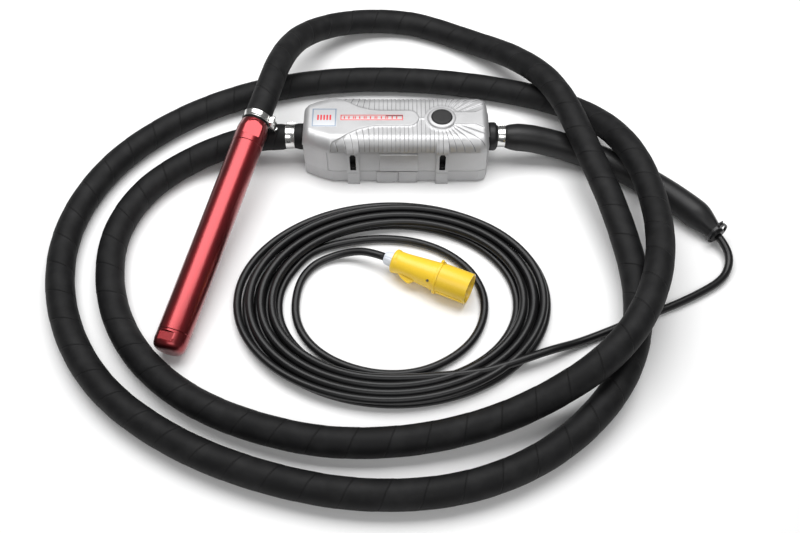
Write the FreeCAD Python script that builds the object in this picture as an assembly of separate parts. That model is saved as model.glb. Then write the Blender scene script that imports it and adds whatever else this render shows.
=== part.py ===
import FreeCAD, Part
import math
import os
from FreeCAD import Placement, Rotation, Vector

# A high-frequency concrete vibrator: a poker head with an electric motor and an
# eccentric inside, five metres of protective hose, an in-line converter with a push
# button, a grip hose, and a coiled supply cable with an industrial three-pin plug.
# Millimetres. +Z is up and +X runs along the converter towards the supply side.
# The origin is the middle of the converter's underside, on the ground.

# ---- driving dimensions: hoses and cable ----
HOSE_RADIUS = 20.0
HOSE_BORE = 14.0
GRIP_RADIUS = 21.0
GRIP_BORE = 12.5
GRIP_END_RADIUS = 12.0
CABLE_RADIUS = 5.75
MOTOR_LEAD_RADIUS = 6.0
ARC_SHARE = 0.45
OUTPUT_CLAMP = (-169.0, -155.0, 19.0)
INPUT_CLAMP = (154.0, 167.0, 16.4)
CLAMP_THICKNESS = 1.0

# ---- driving dimensions: converter ----
CASE_LENGTH = 280.0
CASE_WIDTH = 104.0
CASE_TOP = 86.0
CASE_EDGE = 20.0
CASE_END_EDGE = 11.0
CASE_WALL = 4.5
BASE_BOTTOM = 3.0
BASE_WALL = 4.0
BASE_TOP = 24.6
GASKET_HEIGHT = 0.8
SKIN = 1.2
LABEL_BED = CASE_TOP + SKIN - 0.8
LABEL_TOP = LABEL_BED + 0.5
STRIP_LEFT = -84.0
STRIP_RIGHT = 11.0
STRIP_HALF = 5.8
PLATE_SIZE = 38.0
PLATE_X = -108.0
PORT_HEIGHT = 46.0
RIB_WIDTH = 18.8
RIB_X = (-65.0, 70.0)
FOOT_Y = 56.0
END_SCREW_X = 132.0
END_SCREW_Y = 25.0
POCKET_WIDTH = 9.4
POCKET_BOTTOM = 31.0
POCKET_TOP = 65.0
END_POCKET_TOP = 46.0
SCREW_INSET = 3.0
BOSS_WIDTH = 16.0
SCREW_RADIUS = 2.5
SCREW_HEAD_RADIUS = 4.2
SCREW_HEAD_HEIGHT = 3.5
BUTTON_X = 69.0
BUTTON_RADIUS = 15.5
BUTTON_TOP = 90.0
BUTTON_TRAVEL = 3.0
BEZEL_RADIUS = 22.0
BEZEL_TOP = 89.0

# ---- driving dimensions: poker head, s is measured from the nose tip ----
HEAD_RADIUS = 23.0
HEAD_BORE = 19.0
NOSE_DOME = 13.0
NOSE_SEAM = 26.0
TOP_SEAM = 334.0
HEAD_END = 374.0
TAPER_START = 360.0
TAPER_RADIUS = 20.4
TOP_FLAT = (345.0, 368.0, 19.3, 20.0)
NOSE_FLAT = (10.0, 22.0, 19.9, -8.0)
SEAM_EDGE = 0.4
HEAD_TILT = 9.6
HEAD_HEADING = 14.8
RIM_X = -302.5
RIM_Y = -354.0
SPIGOT_LENGTH = 28.0
SHAFT_RADIUS = 6.0
ECCENTRIC_RADIUS = 15.0
BEARING_AT = (56.0, 172.0, 313.0)
BEARING_WIDTH = 8.0
ROLLER_RADIUS = 2.96
ROLLER_CIRCLE = 12.5
ROLLER_COUNT = 9
RUNNING_GAP = 0.05

# ---- driving dimensions: plug ----
PLUG_AT = (-15.4, -212.6, 24.0)
PLUG_HEADING = -25.0
PLUG_LENGTH = 131.0
SHROUD_RADIUS = 22.3
SHROUD_BORE = 19.6
FLANGE_RADIUS = 24.0
LIVE_PIN_RADIUS = 2.5
EARTH_PIN_RADIUS = 3.5
PIN_CIRCLE = 8.5
PIN_START = 92.0
PIN_END = 126.0

OUT = "parts"
os.makedirs(OUT, exist_ok=True)

UP = Vector(0, 0, 1)
ALONG_X = Vector(1, 0, 0)


def save(node, shape):
    """Write one sub-part as its own STEP file."""
    shape.exportStep(os.path.join(OUT, node + ".step"))
    print(f"{node}: {len(shape.Solids)} solid(s), {shape.Volume / 1000:.1f} cm3, valid {shape.isValid()}")


def box(x0, x1, y0, y1, z0, z1):
    return Part.makeBox(x1 - x0, y1 - y0, z1 - z0, Vector(x0, y0, z0))


def rod(radius, length, at=Vector(0, 0, 0), axis=UP):
    return Part.makeCylinder(radius, length, at, axis)


def ring(outer, inner, length, at=Vector(0, 0, 0), axis=UP):
    return rod(outer, length, at, axis).cut(rod(inner, length, at, axis))


def turned(outline, axis=UP):
    """Revolve an outline of (radius, height) points about Z."""
    points = [Vector(radius, 0, height) for radius, height in outline]
    face = Part.Face(Part.makePolygon(points + points[:1]))
    return face.revolve(Vector(0, 0, 0), axis, 360)


def plate(outline, z0, z1):
    """Extrude a plan outline of (x, y) points from z0 to z1."""
    points = [Vector(x, y, z0) for x, y in outline]
    face = Part.Face(Part.makePolygon(points + points[:1]))
    return face.extrude(Vector(0, 0, z1 - z0))


def joined(shapes):
    whole = shapes[0]
    for shape in shapes[1:]:
        whole = whole.fuse(shape)
    return whole.removeSplitter()


def group(shapes):
    return Part.makeCompound(shapes)


# ---- cords: straight runs joined by tangent arcs ----
def cord_edges(name, route):
    """Edges of a cord's centre line; each arc is as large as its two runs allow."""
    points = [Vector(*point) for point in route]
    edges = []
    radii = []
    last = points[0]
    for before, corner, after in zip(points, points[1:], points[2:]):
        run_in = corner - before
        run_out = after - corner
        setback = ARC_SHARE * min(run_in.Length, run_out.Length)
        run_in.normalize()
        run_out.normalize()
        half_turn = run_in.getAngle(run_out) / 2
        radius = setback / math.tan(half_turn)
        start = corner - run_in * setback
        end = corner + run_out * setback
        inward = (run_out - run_in).normalize()
        middle = corner + inward * (radius / math.cos(half_turn) - radius)
        edges.append(Part.LineSegment(last, start).toShape())
        edges.append(Part.Arc(start, middle, end).toShape())
        radii.append(round(radius))
        last = end
    edges.append(Part.LineSegment(last, points[-1]).toShape())
    print(f"{name}: arc radii {radii}")
    return edges


def pipe(name, edges, radius):
    """A round solid along the edges, with its volume compared with section times length."""
    path = Part.Wire(edges)
    start = path.OrderedEdges[0].valueAt(path.OrderedEdges[0].FirstParameter)
    direction = path.OrderedEdges[0].tangentAt(path.OrderedEdges[0].FirstParameter)
    profile = Part.Wire(Part.Circle(start, direction, radius).toShape())
    solid = path.makePipeShell([profile], True, False)
    expected = math.pi * radius ** 2 * path.Length
    print(f"{name}: length {path.Length:.0f}, volume over expected {solid.Volume / expected:.4f}")
    return solid


# ---- the poker head's place: its rim rests on the ground, its top on the hose ----
tilt = math.radians(HEAD_TILT)
heading = math.radians(HEAD_HEADING)
head_axis = Vector(math.sin(heading) * math.cos(tilt), math.cos(heading) * math.cos(tilt), math.sin(tilt))
rim = Vector(RIM_X, RIM_Y, HEAD_RADIUS * math.cos(tilt))
nose_tip = rim - head_axis * NOSE_DOME
hose_end = nose_tip + head_axis * HEAD_END
head_place = Placement(nose_tip, Rotation(Vector(), UP, head_axis, "ZYX"))

plug_turn = Rotation(UP, PLUG_HEADING).multiply(Rotation(Vector(0, 1, 0), 90))
plug_place = Placement(Vector(*PLUG_AT), plug_turn)

HOSE_ROUTE = [
    (-140, 0, 46), (-190, 0, 46), (-250, 0, 33), (-320, -28, 21), (-380, -85, 20), (-411, -165, 20),
    (-406, -248, 20), (-380, -322, 20), (-333, -388, 20), (-262, -443, 20), (-172, -480, 20),
    (-70, -501, 20), (55, -492, 20), (175, -456, 32), (288, -398, 76), (356, -288, 78), (376, -155, 66),
    (350, -25, 67), (280, 88, 26), (150, 134, 20), (20, 152, 20), (-112, 150, 20), (-240, 120, 20),
    (-357, 54, 20), (-446, -43, 20), (-486, -170, 20), (-466, -300, 20), (-397, -415, 20),
    (-290, -494, 20), (-168, -544, 20), (-38, -570, 20), (95, -560, 20), (214, -505, 20),
    (305, -410, 32), (339, -290, 32), (320, -165, 54), (286, -40, 67), (252, 80, 75), (200, 170, 50),
    (125, 243, 20), (44, 284, 20), (-6, 293, 21), (-57, 288, 26), (-103, 267, 37), (-141, 233, 52),
    (-168, 188, 69), (-186, 120, 87),
    tuple(hose_end + head_axis * 55), tuple(hose_end),
]
GRIP_ROUTE = [
    (140, 0, 46), (190, 0, 46), (240, -2, 34), (295, -14, 22), (350, -44, 21), (395, -81, 21),
    (432, -118, 21), (456, -147, 21), (470, -170, 21),
]
LEAD_ROUTE = [
    (470, -170, 21), (479, -184.79, 21), (483, -206, 13), (475, -228, 6), (460, -244, 6), (438, -258, 6),
    (405, -276, 6), (365, -294, 6), (325, -311, 6), (285, -329, 6), (240, -348, 6), (194, -361, 6),
]
TAIL_ROUTE = [
    PLUG_AT, (-37, -202.53, 24), (-63, -196, 15), (-92, -199, 7), (-117, -212, 6), (-134, -235, 6),
    (-141, -266, 6), (-140, -302, 6), (-127, -334, 6), (-101, -362, 6), (-64, -382, 6), (-20, -393, 6),
    (28, -391, 6), (72, -372, 6), (106, -342, 6), (124, -303, 6), (125, -262, 6), (107, -222, 6),
    (74, -191, 6), (34, -173, 6), (-8, -166, 6), (-52, -168, 6), (-108, -182, 6),
]


# ---- converter ----
def case_side(inset, z0):
    """The converter's outline seen from the front, extruded across its width."""
    left = -CASE_LENGTH / 2 + inset
    right = CASE_LENGTH / 2 - inset
    top = CASE_TOP - inset
    y = -CASE_WIDTH
    low = top - CASE_END_EDGE
    inner_left = left + CASE_END_EDGE
    inner_right = right - CASE_END_EDGE
    swing = CASE_END_EDGE * math.sin(math.radians(45))
    left_arc = Part.Arc(
        Vector(left, y, low), Vector(inner_left - swing, y, low + swing), Vector(inner_left, y, top)
    ).toShape()
    right_arc = Part.Arc(
        Vector(inner_right, y, top), Vector(inner_right + swing, y, low + swing), Vector(right, y, low)
    ).toShape()
    up = Part.LineSegment(Vector(left, y, z0), Vector(left, y, low)).toShape()
    over = Part.LineSegment(Vector(inner_left, y, top), Vector(inner_right, y, top)).toShape()
    down = Part.LineSegment(Vector(right, y, low), Vector(right, y, z0)).toShape()
    close = Part.LineSegment(Vector(right, y, z0), Vector(left, y, z0)).toShape()
    face = Part.Face(Part.Wire([up, left_arc, over, right_arc, down, close]))
    return face.extrude(Vector(0, 2 * CASE_WIDTH, 0))


def case_end(inset, z0):
    """The converter's section with its rounded upper edges, extruded along its length."""
    half = CASE_WIDTH / 2 - inset
    top = CASE_TOP - inset
    edge = CASE_EDGE
    swing = edge * math.sin(math.radians(45))
    x = -CASE_LENGTH
    right_arc = Part.Arc(
        Vector(x, half, top - edge), Vector(x, half - edge + swing, top - edge + swing),
        Vector(x, half - edge, top)
    ).toShape()
    left_arc = Part.Arc(
        Vector(x, edge - half, top), Vector(x, edge - half - swing, top - edge + swing),
        Vector(x, -half, top - edge)
    ).toShape()
    lines = [
        Part.LineSegment(Vector(x, -half, z0), Vector(x, half, z0)).toShape(),
        Part.LineSegment(Vector(x, half, z0), Vector(x, half, top - edge)).toShape(),
        Part.LineSegment(Vector(x, half - edge, top), Vector(x, edge - half, top)).toShape(),
        Part.LineSegment(Vector(x, -half, top - edge), Vector(x, -half, z0)).toShape(),
    ]
    face = Part.Face(Part.Wire([lines[0], lines[1], right_arc, lines[2], left_arc, lines[3]]))
    return face.extrude(Vector(2 * CASE_LENGTH, 0, 0))


def case_plan(inset, z0, z1):
    """The converter's plan outline, with its tapered left end and cut right corners."""
    left = -CASE_LENGTH / 2 + inset
    right = CASE_LENGTH / 2 - inset
    half = CASE_WIDTH / 2 - inset
    upper = [
        (right, half - 14), (right - 4, half - 4), (right - 14, half),
        (left + 42, half), (left + 20, half - 8), (left, half - 18),
    ]
    lower = [(x, -y) for x, y in reversed(upper)]
    return plate(upper + lower, z0, z1)


def case_block(inset, z0):
    return case_plan(inset, z0, 200).common(case_end(inset, z0)).common(case_side(inset, z0))


def screw_places():
    """Each casing screw's axis and the direction its pocket opens in."""
    places = []
    for side in (-1, 1):
        for x in RIB_X:
            places.append((x, side * (CASE_WIDTH / 2 - SCREW_INSET), Vector(0, side, 0)))
        for y in (-END_SCREW_Y, END_SCREW_Y):
            places.append((side * END_SCREW_X, y, Vector(side, 0, 0)))
    return places


def boss(x, y, outward, z0, z1):
    """A block of metal round a screw's axis, running out into the wall."""
    half = BOSS_WIDTH / 2
    block = box(-half, half, -half, CASE_LENGTH, z0, z1)
    block.Placement = Placement(Vector(x, y, 0), turn_to(outward))
    return block.common(case_block(0, z0))


def turn_to(outward):
    return Rotation(UP, math.degrees(math.atan2(outward.y, outward.x)) - 90)


def pocket(x, y, outward):
    """The open slot above a casing screw's head; it narrows towards the head."""
    deep = SCREW_HEAD_RADIUS + 0.4
    far = 20.0
    half_top = POCKET_WIDTH / 2
    half_low = SCREW_HEAD_RADIUS + 0.2
    top = POCKET_TOP if outward.x == 0 else END_POCKET_TOP
    outline = [
        Vector(-half_low, -deep, POCKET_BOTTOM), Vector(half_low, -deep, POCKET_BOTTOM),
        Vector(half_top, -deep, top - 4), Vector(half_top - 2, -deep, top),
        Vector(2 - half_top, -deep, top), Vector(-half_top, -deep, top - 4),
    ]
    slot = Part.Face(Part.makePolygon(outline + outline[:1])).extrude(Vector(0, deep + far, 0))
    slot.Placement = Placement(Vector(x, y, 0), turn_to(outward))
    return slot


def smooth_lands():
    """The smooth raised skin: the tongue from the left end, and the strip to the right end."""
    tongue = [
        (-145, -60), (-104, -60), (-95, -45), (-83, -40), (-70, -31), (-57, -23), (-40, -17), (-24, -15),
        (22, -15), (29, -11), (33, -5),
    ]
    tongue += [(x, -y) for x, y in reversed(tongue)]
    strip = [
        (BUTTON_X, -12), (120, -12), (133, -20), (145, -20),
        (145, 20), (133, 20), (120, 12), (BUTTON_X, 12),
    ]
    skin = case_block(-SKIN, 70).common(case_plan(0, 60, 200))
    return [skin.common(plate(tongue, 60, 200)), skin.common(plate(strip, 60, 200))]


def make_upper_casing():
    z0 = BASE_TOP + GASKET_HEIGHT
    shell = case_block(0, z0)
    shell = shell.fuse(smooth_lands())
    shell = shell.fuse(rod(BEZEL_RADIUS, BEZEL_TOP - 70, Vector(BUTTON_X, 0, 70)))
    for x, y, outward in screw_places():
        if outward.x == 0:
            low, high = sorted((y, outward.y * FOOT_Y))
            rib = box(x - RIB_WIDTH / 2, x + RIB_WIDTH / 2, low, high, z0, POCKET_TOP)
            shell = shell.fuse(rib)
    shell = shell.cut(case_block(CASE_WALL, z0 - 1))
    for x, y, outward in screw_places():
        shell = shell.fuse(boss(x, y, outward, z0, CASE_TOP - CASE_EDGE))
    for x, y, outward in screw_places():
        shell = shell.cut(pocket(x, y, outward))
        shell = shell.cut(rod(SCREW_RADIUS + 0.2, POCKET_BOTTOM, Vector(x, y, 10)))
    # The sunk panel in the middle of each long wall.
    for side in (-1, 1):
        low, high = sorted((side * (CASE_WIDTH / 2 - 1.5), side * CASE_WIDTH))
        shell = shell.cut(box(-25, 33, low, high, z0 - 1, 64))
    # Hose ports, the button's hole, and the sunk beds of the nameplate and the strip.
    shell = shell.cut(rod(HOSE_BORE, 30, Vector(-CASE_LENGTH / 2 - 10, 0, PORT_HEIGHT), ALONG_X))
    shell = shell.cut(rod(GRIP_BORE, 30, Vector(CASE_LENGTH / 2 - 20, 0, PORT_HEIGHT), ALONG_X))
    shell = shell.cut(rod(BUTTON_RADIUS + 0.4, 40, Vector(BUTTON_X, 0, 60)))
    shell = shell.cut(box(STRIP_LEFT, STRIP_RIGHT, -STRIP_HALF, STRIP_HALF, LABEL_BED, 100))
    shell = shell.cut(nameplate_block(LABEL_BED, 100))
    return shell.removeSplitter()


def nameplate_block(z0, z1):
    """The square nameplate's outline at the left of the top."""
    half = PLATE_SIZE / 2
    return box(PLATE_X - half, PLATE_X + half, -half, half, z0, z1)


def make_base_tray():
    tray = case_block(0, BASE_BOTTOM).common(box(-200, 200, -100, 100, 0, BASE_TOP))
    for x, y, outward in screw_places():
        if outward.x == 0:
            low, high = sorted((y, outward.y * FOOT_Y))
            tray = tray.fuse(box(x - RIB_WIDTH / 2, x + RIB_WIDTH / 2, low, high, 0, BASE_TOP))
    # Two low pads on each long wall.
    for side in (-1, 1):
        low, high = sorted((side * CASE_WIDTH / 2, side * (CASE_WIDTH / 2 + 1.2)))
        tray = tray.fuse(box(-26, 2, low - 1, high + 1 - 1 * (side > 0), BASE_BOTTOM, BASE_TOP - 0.6))
        tray = tray.fuse(box(5.5, 34, low - 1 * (side > 0), high, BASE_BOTTOM, BASE_TOP - 0.6))
    # Feet across the underside, and a flat land in the middle at the same height.
    for x in RIB_X:
        tray = tray.fuse(box(x - RIB_WIDTH / 2, x + RIB_WIDTH / 2, -FOOT_Y, FOOT_Y, 0, BASE_BOTTOM + 1))
    tray = tray.fuse(box(-40, 40, -30, 30, 0, BASE_BOTTOM + 1))
    tray = tray.cut(case_block(BASE_WALL, BASE_BOTTOM + BASE_WALL))
    for x, y, outward in screw_places():
        tray = tray.fuse(boss(x, y, outward, BASE_BOTTOM + 1, BASE_TOP))
    for x, y, outward in screw_places():
        tray = tray.cut(rod(SCREW_RADIUS + RUNNING_GAP, BASE_TOP, Vector(x, y, 9)))
    return tray.removeSplitter()


def make_gasket():
    z0 = BASE_TOP
    outer = case_plan(1.0, z0, z0 + GASKET_HEIGHT)
    seal = outer.cut(case_plan(CASE_WALL - 1, z0, z0 + GASKET_HEIGHT))
    pads = [rod(6.5, GASKET_HEIGHT, Vector(x, y, z0)).common(outer) for x, y, outward in screw_places()]
    seal = joined([seal] + pads)
    for x, y, outward in screw_places():
        seal = seal.cut(rod(SCREW_RADIUS + 0.3, 5, Vector(x, y, z0 - 1)))
    return seal


def make_casing_screws():
    screws = []
    socket = 2.2
    for x, y, outward in screw_places():
        head = rod(SCREW_HEAD_RADIUS, SCREW_HEAD_HEIGHT, Vector(x, y, POCKET_BOTTOM))
        shank = rod(SCREW_RADIUS, POCKET_BOTTOM - 10, Vector(x, y, 10))
        centre = Vector(x, y, POCKET_BOTTOM + 1.4)
        corners = [math.radians(turn) for turn in range(0, 361, 60)]
        hexagon = Part.makePolygon([
            centre + Vector(socket * math.cos(turn), socket * math.sin(turn), 0) for turn in corners
        ])
        drive = Part.Face(hexagon).extrude(Vector(0, 0, 5))
        screws.append(head.fuse(shank).cut(drive).removeSplitter())
    return group(screws)


def make_button():
    """Button cap with its retaining flange, the plunger under it, the seal and the return spring."""
    at = Vector(BUTTON_X, 0, 0)
    cap = turned([
        (0, 77), (18.5, 77), (18.5, 79), (BUTTON_RADIUS, 79), (BUTTON_RADIUS, BUTTON_TOP - 1.5),
        (BUTTON_RADIUS - 1.5, BUTTON_TOP - 0.4), (BUTTON_RADIUS - 5, BUTTON_TOP), (0, BUTTON_TOP),
    ])
    cap.translate(at)
    save("button_cap", cap)
    plunger = turned([(0, 52), (4, 52), (4, 74), (7, 74), (7, 77), (0, 77)])
    plunger.translate(at)
    save("button_plunger", plunger)
    body = box(-14, 14, -13, 13, 13.6, 58).fuse(box(-17, -14, -8, 8, 30, 44)).fuse(box(14, 17, -8, 8, 30, 44))
    body = body.cut(rod(4.2, 20, Vector(0, 0, 46)))
    body.translate(at)
    save("switch_body", body.removeSplitter())
    wire_radius = 0.8
    coil_radius = 9.0
    base = 58 + wire_radius + 0.2
    height = 77 - 0.2 - wire_radius - base
    pitch = height / 5
    steps_per_turn = 24
    winding = []
    for step in range(5 * steps_per_turn + 1):
        turn = 2 * math.pi * step / steps_per_turn
        rise = pitch * step / steps_per_turn
        winding.append(Vector(coil_radius * math.cos(turn), coil_radius * math.sin(turn), base + rise))
    line = Part.BSplineCurve()
    line.interpolate(winding)
    lead_in = Vector(0, 2 * math.pi * coil_radius, pitch)
    profile = Part.Wire(Part.Circle(winding[0], lead_in, wire_radius).toShape())
    spring = Part.Wire(line.toShape()).makePipeShell([profile], True, True)
    spring.translate(at)
    save("button_spring", spring)
    seal = ring(18.4, BUTTON_RADIUS + 0.5, 2.2, Vector(BUTTON_X, 0, 79.3))
    save("button_seal", seal)


def make_electronics():
    board = box(-118, 118, -38, 38, 12, 13.6)
    floor = BASE_BOTTOM + BASE_WALL
    posts = []
    board_screws = []
    for x in (-110, 110):
        for y in (-32, 32):
            board = board.cut(rod(1.7, 4, Vector(x, y, 11)))
            posts.append(rod(3.5, 12 - floor, Vector(x, y, floor)).cut(rod(1.3, 8, Vector(x, y, 9))))
            screw = rod(1.25, 6, Vector(x, y, 9.6)).fuse(rod(2.8, 2, Vector(x, y, 13.6)))
            board_screws.append(screw.removeSplitter())
    save("converter_board", board)
    save("board_posts", group(posts))
    save("board_screws", group(board_screws))
    sink = box(-70, 30, 24, 28, 13.6, 52)
    for fin in range(11):
        x = -70 + fin * 9.8
        sink = sink.fuse(box(x, x + 2, 28, 36, 13.6, 52))
    save("heat_sink", sink.removeSplitter())
    transistors = []
    for index in range(6):
        x = -66 + index * 16
        body = box(x, x + 11, 19.5, 24, 20, 36)
        legs = [box(x + offset, x + offset + 1, 21, 22, 13.6, 20) for offset in (1.5, 5, 8.5)]
        transistors.append(joined([body] + legs))
    save("power_transistors", group(transistors))
    capacitors = []
    for index in range(3):
        at = Vector(-60 + index * 32, -16, 13.6)
        can = rod(12, 42, at).cut(rod(10.5, 1, at + Vector(0, 0, 41)))
        capacitors.append(can)
    save("capacitors", group(capacitors))
    blocks = []
    for side in (-1, 1):
        low, high = sorted((side * 98, side * 112))
        blocks.append(box(low, high, -18, 18, 13.6, 54))
    save("terminal_blocks", group(blocks))


def make_spigots():
    """Turned inserts that hold the hoses; each has a collar inside the casing's end wall."""
    wall = CASE_LENGTH / 2 - CASE_WALL
    for node, side, radius, bore, reach in (
        ("output_spigot", -1, HOSE_BORE, MOTOR_LEAD_RADIUS + 0.5, 36),
        ("input_spigot", 1, GRIP_BORE, CABLE_RADIUS + 0.5, 34),
    ):
        axis = Vector(side, 0, 0)
        collar = rod(radius + 2.5, 4, Vector(side * (wall - 4.1), 0, PORT_HEIGHT), axis)
        start = Vector(side * (wall - 4), 0, PORT_HEIGHT)
        tube = rod(radius - RUNNING_GAP, CASE_WALL + 4 + reach, start, axis)
        spigot = collar.fuse(tube)
        spigot = spigot.cut(rod(bore, 80, Vector(side * (wall - 10), 0, PORT_HEIGHT), axis))
        save(node, spigot.removeSplitter())


def ear_clamp(x0, x1, radius):
    """A stepless ear clamp: a plain band with one pinched ear on its front."""
    width = x1 - x0
    at = Vector(x0, 0, PORT_HEIGHT)
    band = ring(radius, radius - CLAMP_THICKNESS, width, at, ALONG_X)
    ear = box(x0, x1, -5, 5, radius - 0.5, radius + 3.2)
    ear = ear.cut(box(x0 - 1, x1 + 1, -4, 4, radius - 2, radius + 2.2))
    ear.Placement = Placement(Vector(0, 0, PORT_HEIGHT), Rotation(ALONG_X, 112))
    return band.fuse(ear).removeSplitter()


def clamp_groove(x0, x1, radius):
    """What a clamp squeezes out of the hose under it: a plain square groove."""
    return ring(60, radius - CLAMP_THICKNESS, x1 - x0, Vector(x0, 0, PORT_HEIGHT), ALONG_X)


def make_hoses():
    hose_path = cord_edges("main_hose", HOSE_ROUTE)
    hose = pipe("main_hose", hose_path, HOSE_RADIUS).cut(pipe("main_hose bore", hose_path, HOSE_BORE))
    hose = hose.cut(clamp_groove(*OUTPUT_CLAMP))
    save("main_hose", hose)
    inner = Vector(-112, 0, PORT_HEIGHT)
    lead_path = [Part.LineSegment(inner, Vector(*HOSE_ROUTE[0])).toShape()] + hose_path
    lead_path.append(Part.LineSegment(hose_end, nose_tip + head_axis * 322.5).toShape())
    save("motor_lead", pipe("motor_lead", lead_path, MOTOR_LEAD_RADIUS))

    grip_path = cord_edges("grip_hose", GRIP_ROUTE)
    grip = pipe("grip_hose", grip_path, GRIP_RADIUS)
    end = Vector(*GRIP_ROUTE[-1])
    end_run = end - Vector(*GRIP_ROUTE[-2])
    end_axis = Vector(end_run).normalize()
    # The last stretch is drawn in to a narrow mouth.
    taper_length = 13.0
    keep = turned([(GRIP_END_RADIUS, 0), (60, 0), (60, -taper_length), (GRIP_RADIUS, -taper_length)])
    keep.Placement = Placement(end, Rotation(UP, end_axis))
    grip = grip.cut(keep)
    grip = grip.cut(pipe("grip_hose bore", grip_path, CABLE_RADIUS + 0.15))
    bore_step = rod(GRIP_BORE, 45, Vector(*GRIP_ROUTE[0]), ALONG_X)
    grip = grip.cut(bore_step).cut(clamp_groove(*INPUT_CLAMP))
    save("grip_hose", grip)
    start = Vector(112, 0, PORT_HEIGHT)
    inner_path = [Part.LineSegment(start, Vector(*GRIP_ROUTE[0])).toShape()] + grip_path
    save("supply_cable_inner", pipe("supply_cable_inner", inner_path, CABLE_RADIUS))

    tie_at = end - end_axis * 5
    tie = ring(GRIP_END_RADIUS + 5.6, GRIP_END_RADIUS + 3.6, 3.6)
    lock = box(-4, 4, GRIP_END_RADIUS + 4, GRIP_END_RADIUS + 10, -1, 5)
    tail = box(-1.8, 1.8, GRIP_END_RADIUS + 9, GRIP_END_RADIUS + 15, 1.2, 2.6)
    tie = joined([tie, lock, tail])
    tie.Placement = Placement(tie_at, Rotation(Vector(), UP, end_axis, "ZYX"))
    save("cable_tie", tie)


def make_supply_cable():
    for node, route in (("supply_cable_lead", LEAD_ROUTE), ("supply_cable_tail", TAIL_ROUTE)):
        save(node, pipe(node, cord_edges(node, route), CABLE_RADIUS))
    coil_height = 24.0
    outer = Part.Face(Part.Wire(Part.Ellipse(Vector(-3, -273, 0), 231, 180).toShape()))
    inner = Part.Face(Part.Wire(Part.Ellipse(Vector(0, -278, 0), 161, 122.5).toShape()))
    coil = outer.cut(inner).extrude(Vector(0, 0, coil_height))
    save("supply_cable_coil", coil)


# ---- plug, modelled upright about Z from its gland to its mouth ----
def place_plug(shape):
    shape.Placement = plug_place.multiply(shape.Placement)
    return shape


def make_plug():
    gland = turned([(6.0, 0), (8.5, 0), (9.8, 3), (11.5, 12), (11.5, 14), (6.0, 14)])
    for index in range(12):
        notch = box(9.4, 14, -0.7, 0.7, 2, 12)
        notch.rotate(Vector(0, 0, 0), UP, index * 30)
        gland = gland.cut(notch)
    save("plug_gland_nut", place_plug(gland))
    seal = ring(10.8, CABLE_RADIUS + 0.1, 8, Vector(0, 0, 14.2))
    save("plug_gland_seal", place_plug(seal))
    saddle = ring(11.5, CABLE_RADIUS + 0.1, 7, Vector(0, 0, 30)).cut(box(-1, 1, -20, 20, 20, 50))
    save("plug_cord_clamp", place_plug(saddle))
    body = turned([
        (11.0, 14.2), (16.5, 14.2), (17.5, 15.5), (17.5, 19), (16.2, 21), (16.2, 30), (19.2, 62),
        (21.0, 82), (18.4, 82), (16.4, 64), (13.5, 32), (11.0, 26),
    ])
    fin = plate([(28, 12), (54, 12), (50, 24), (42, 24)], -2.6, 2.6)
    fin.Placement = Placement(Vector(0, 0, 0), Rotation(Vector(0, 1, 0), -90))
    fin = fin.common(box(-60, 60, 15.5, 60, 0, 100))
    fin.rotate(Vector(0, 0, 0), UP, 200)
    body = body.fuse(fin).removeSplitter()
    for angle in (60, 240):
        body = body.cut(plug_screw_hole(angle))
    save("plug_body", place_plug(body))
    shroud = turned([
        (17.9, 78.2), (17.0, 78.2), (17.0, 90), (SHROUD_BORE, 90), (SHROUD_BORE, PLUG_LENGTH),
        (SHROUD_RADIUS, PLUG_LENGTH), (SHROUD_RADIUS, 86), (FLANGE_RADIUS, 86), (FLANGE_RADIUS, 82.1),
        (17.9, 82.1),
    ])
    lug = box(-3, 3, SHROUD_RADIUS - 1, FLANGE_RADIUS + 3.5, 82.1, 86)
    lug.rotate(Vector(0, 0, 0), UP, 60)
    key = box(-2, 2, SHROUD_RADIUS - 1, SHROUD_RADIUS + 1.4, 88, PLUG_LENGTH - 4)
    key.rotate(Vector(0, 0, 0), UP, 190)
    shroud = joined([shroud, lug, key])
    save("plug_shroud", place_plug(shroud))
    carrier = rod(16.9, 22, Vector(0, 0, 70))
    pins = []
    leads = [rod(CABLE_RADIUS, 42)]
    for angle, radius in ((90, EARTH_PIN_RADIUS), (210, LIVE_PIN_RADIUS), (330, LIVE_PIN_RADIUS)):
        x = PIN_CIRCLE * math.cos(math.radians(angle))
        y = PIN_CIRCLE * math.sin(math.radians(angle))
        carrier = carrier.cut(rod(radius - 0.5, 30, Vector(x, y, 66)))
        pin = rod(radius, PIN_END - 1 - PIN_START, Vector(x, y, PIN_START))
        pin = pin.fuse(rod(radius - 0.5, PIN_START - 64, Vector(x, y, 64)))
        tip = Part.makeCone(radius, radius - 1, 1, Vector(x, y, PIN_END - 1), UP)
        pins.append(pin.fuse(tip).removeSplitter())
        core_start = Vector(x * 0.3, y * 0.3, 41)
        run = Vector(x, y, 64) - core_start
        leads.append(rod(1.4, run.Length, core_start, run))
    for angle in (60, 240):
        carrier = carrier.cut(plug_screw_hole(angle))
    save("plug_contact_carrier", place_plug(carrier))
    save("plug_pins", place_plug(group(pins)))
    save("plug_inner_cable", place_plug(joined(leads).cut(box(-20, 20, -20, 20, 64, 80))))
    screws = [plug_screw(60), plug_screw(240)]
    save("plug_screws", place_plug(group(screws)))


def plug_screw_hole(angle):
    hole = rod(2.0, 12, Vector(13, 0, 74), ALONG_X)
    hole.rotate(Vector(0, 0, 0), UP, angle)
    return hole


def plug_screw(angle):
    screw = rod(1.9, 8.2, Vector(13.4, 0, 74), ALONG_X)
    screw = screw.cut(box(20.6, 23, -2, 2, 73.6, 74.4))
    screw.rotate(Vector(0, 0, 0), UP, angle)
    return screw


# ---- poker head, modelled upright about Z from its nose tip; +Y is the side facing up ----
def place_head(shape):
    shape.Placement = head_place.multiply(shape.Placement)
    return shape


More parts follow.
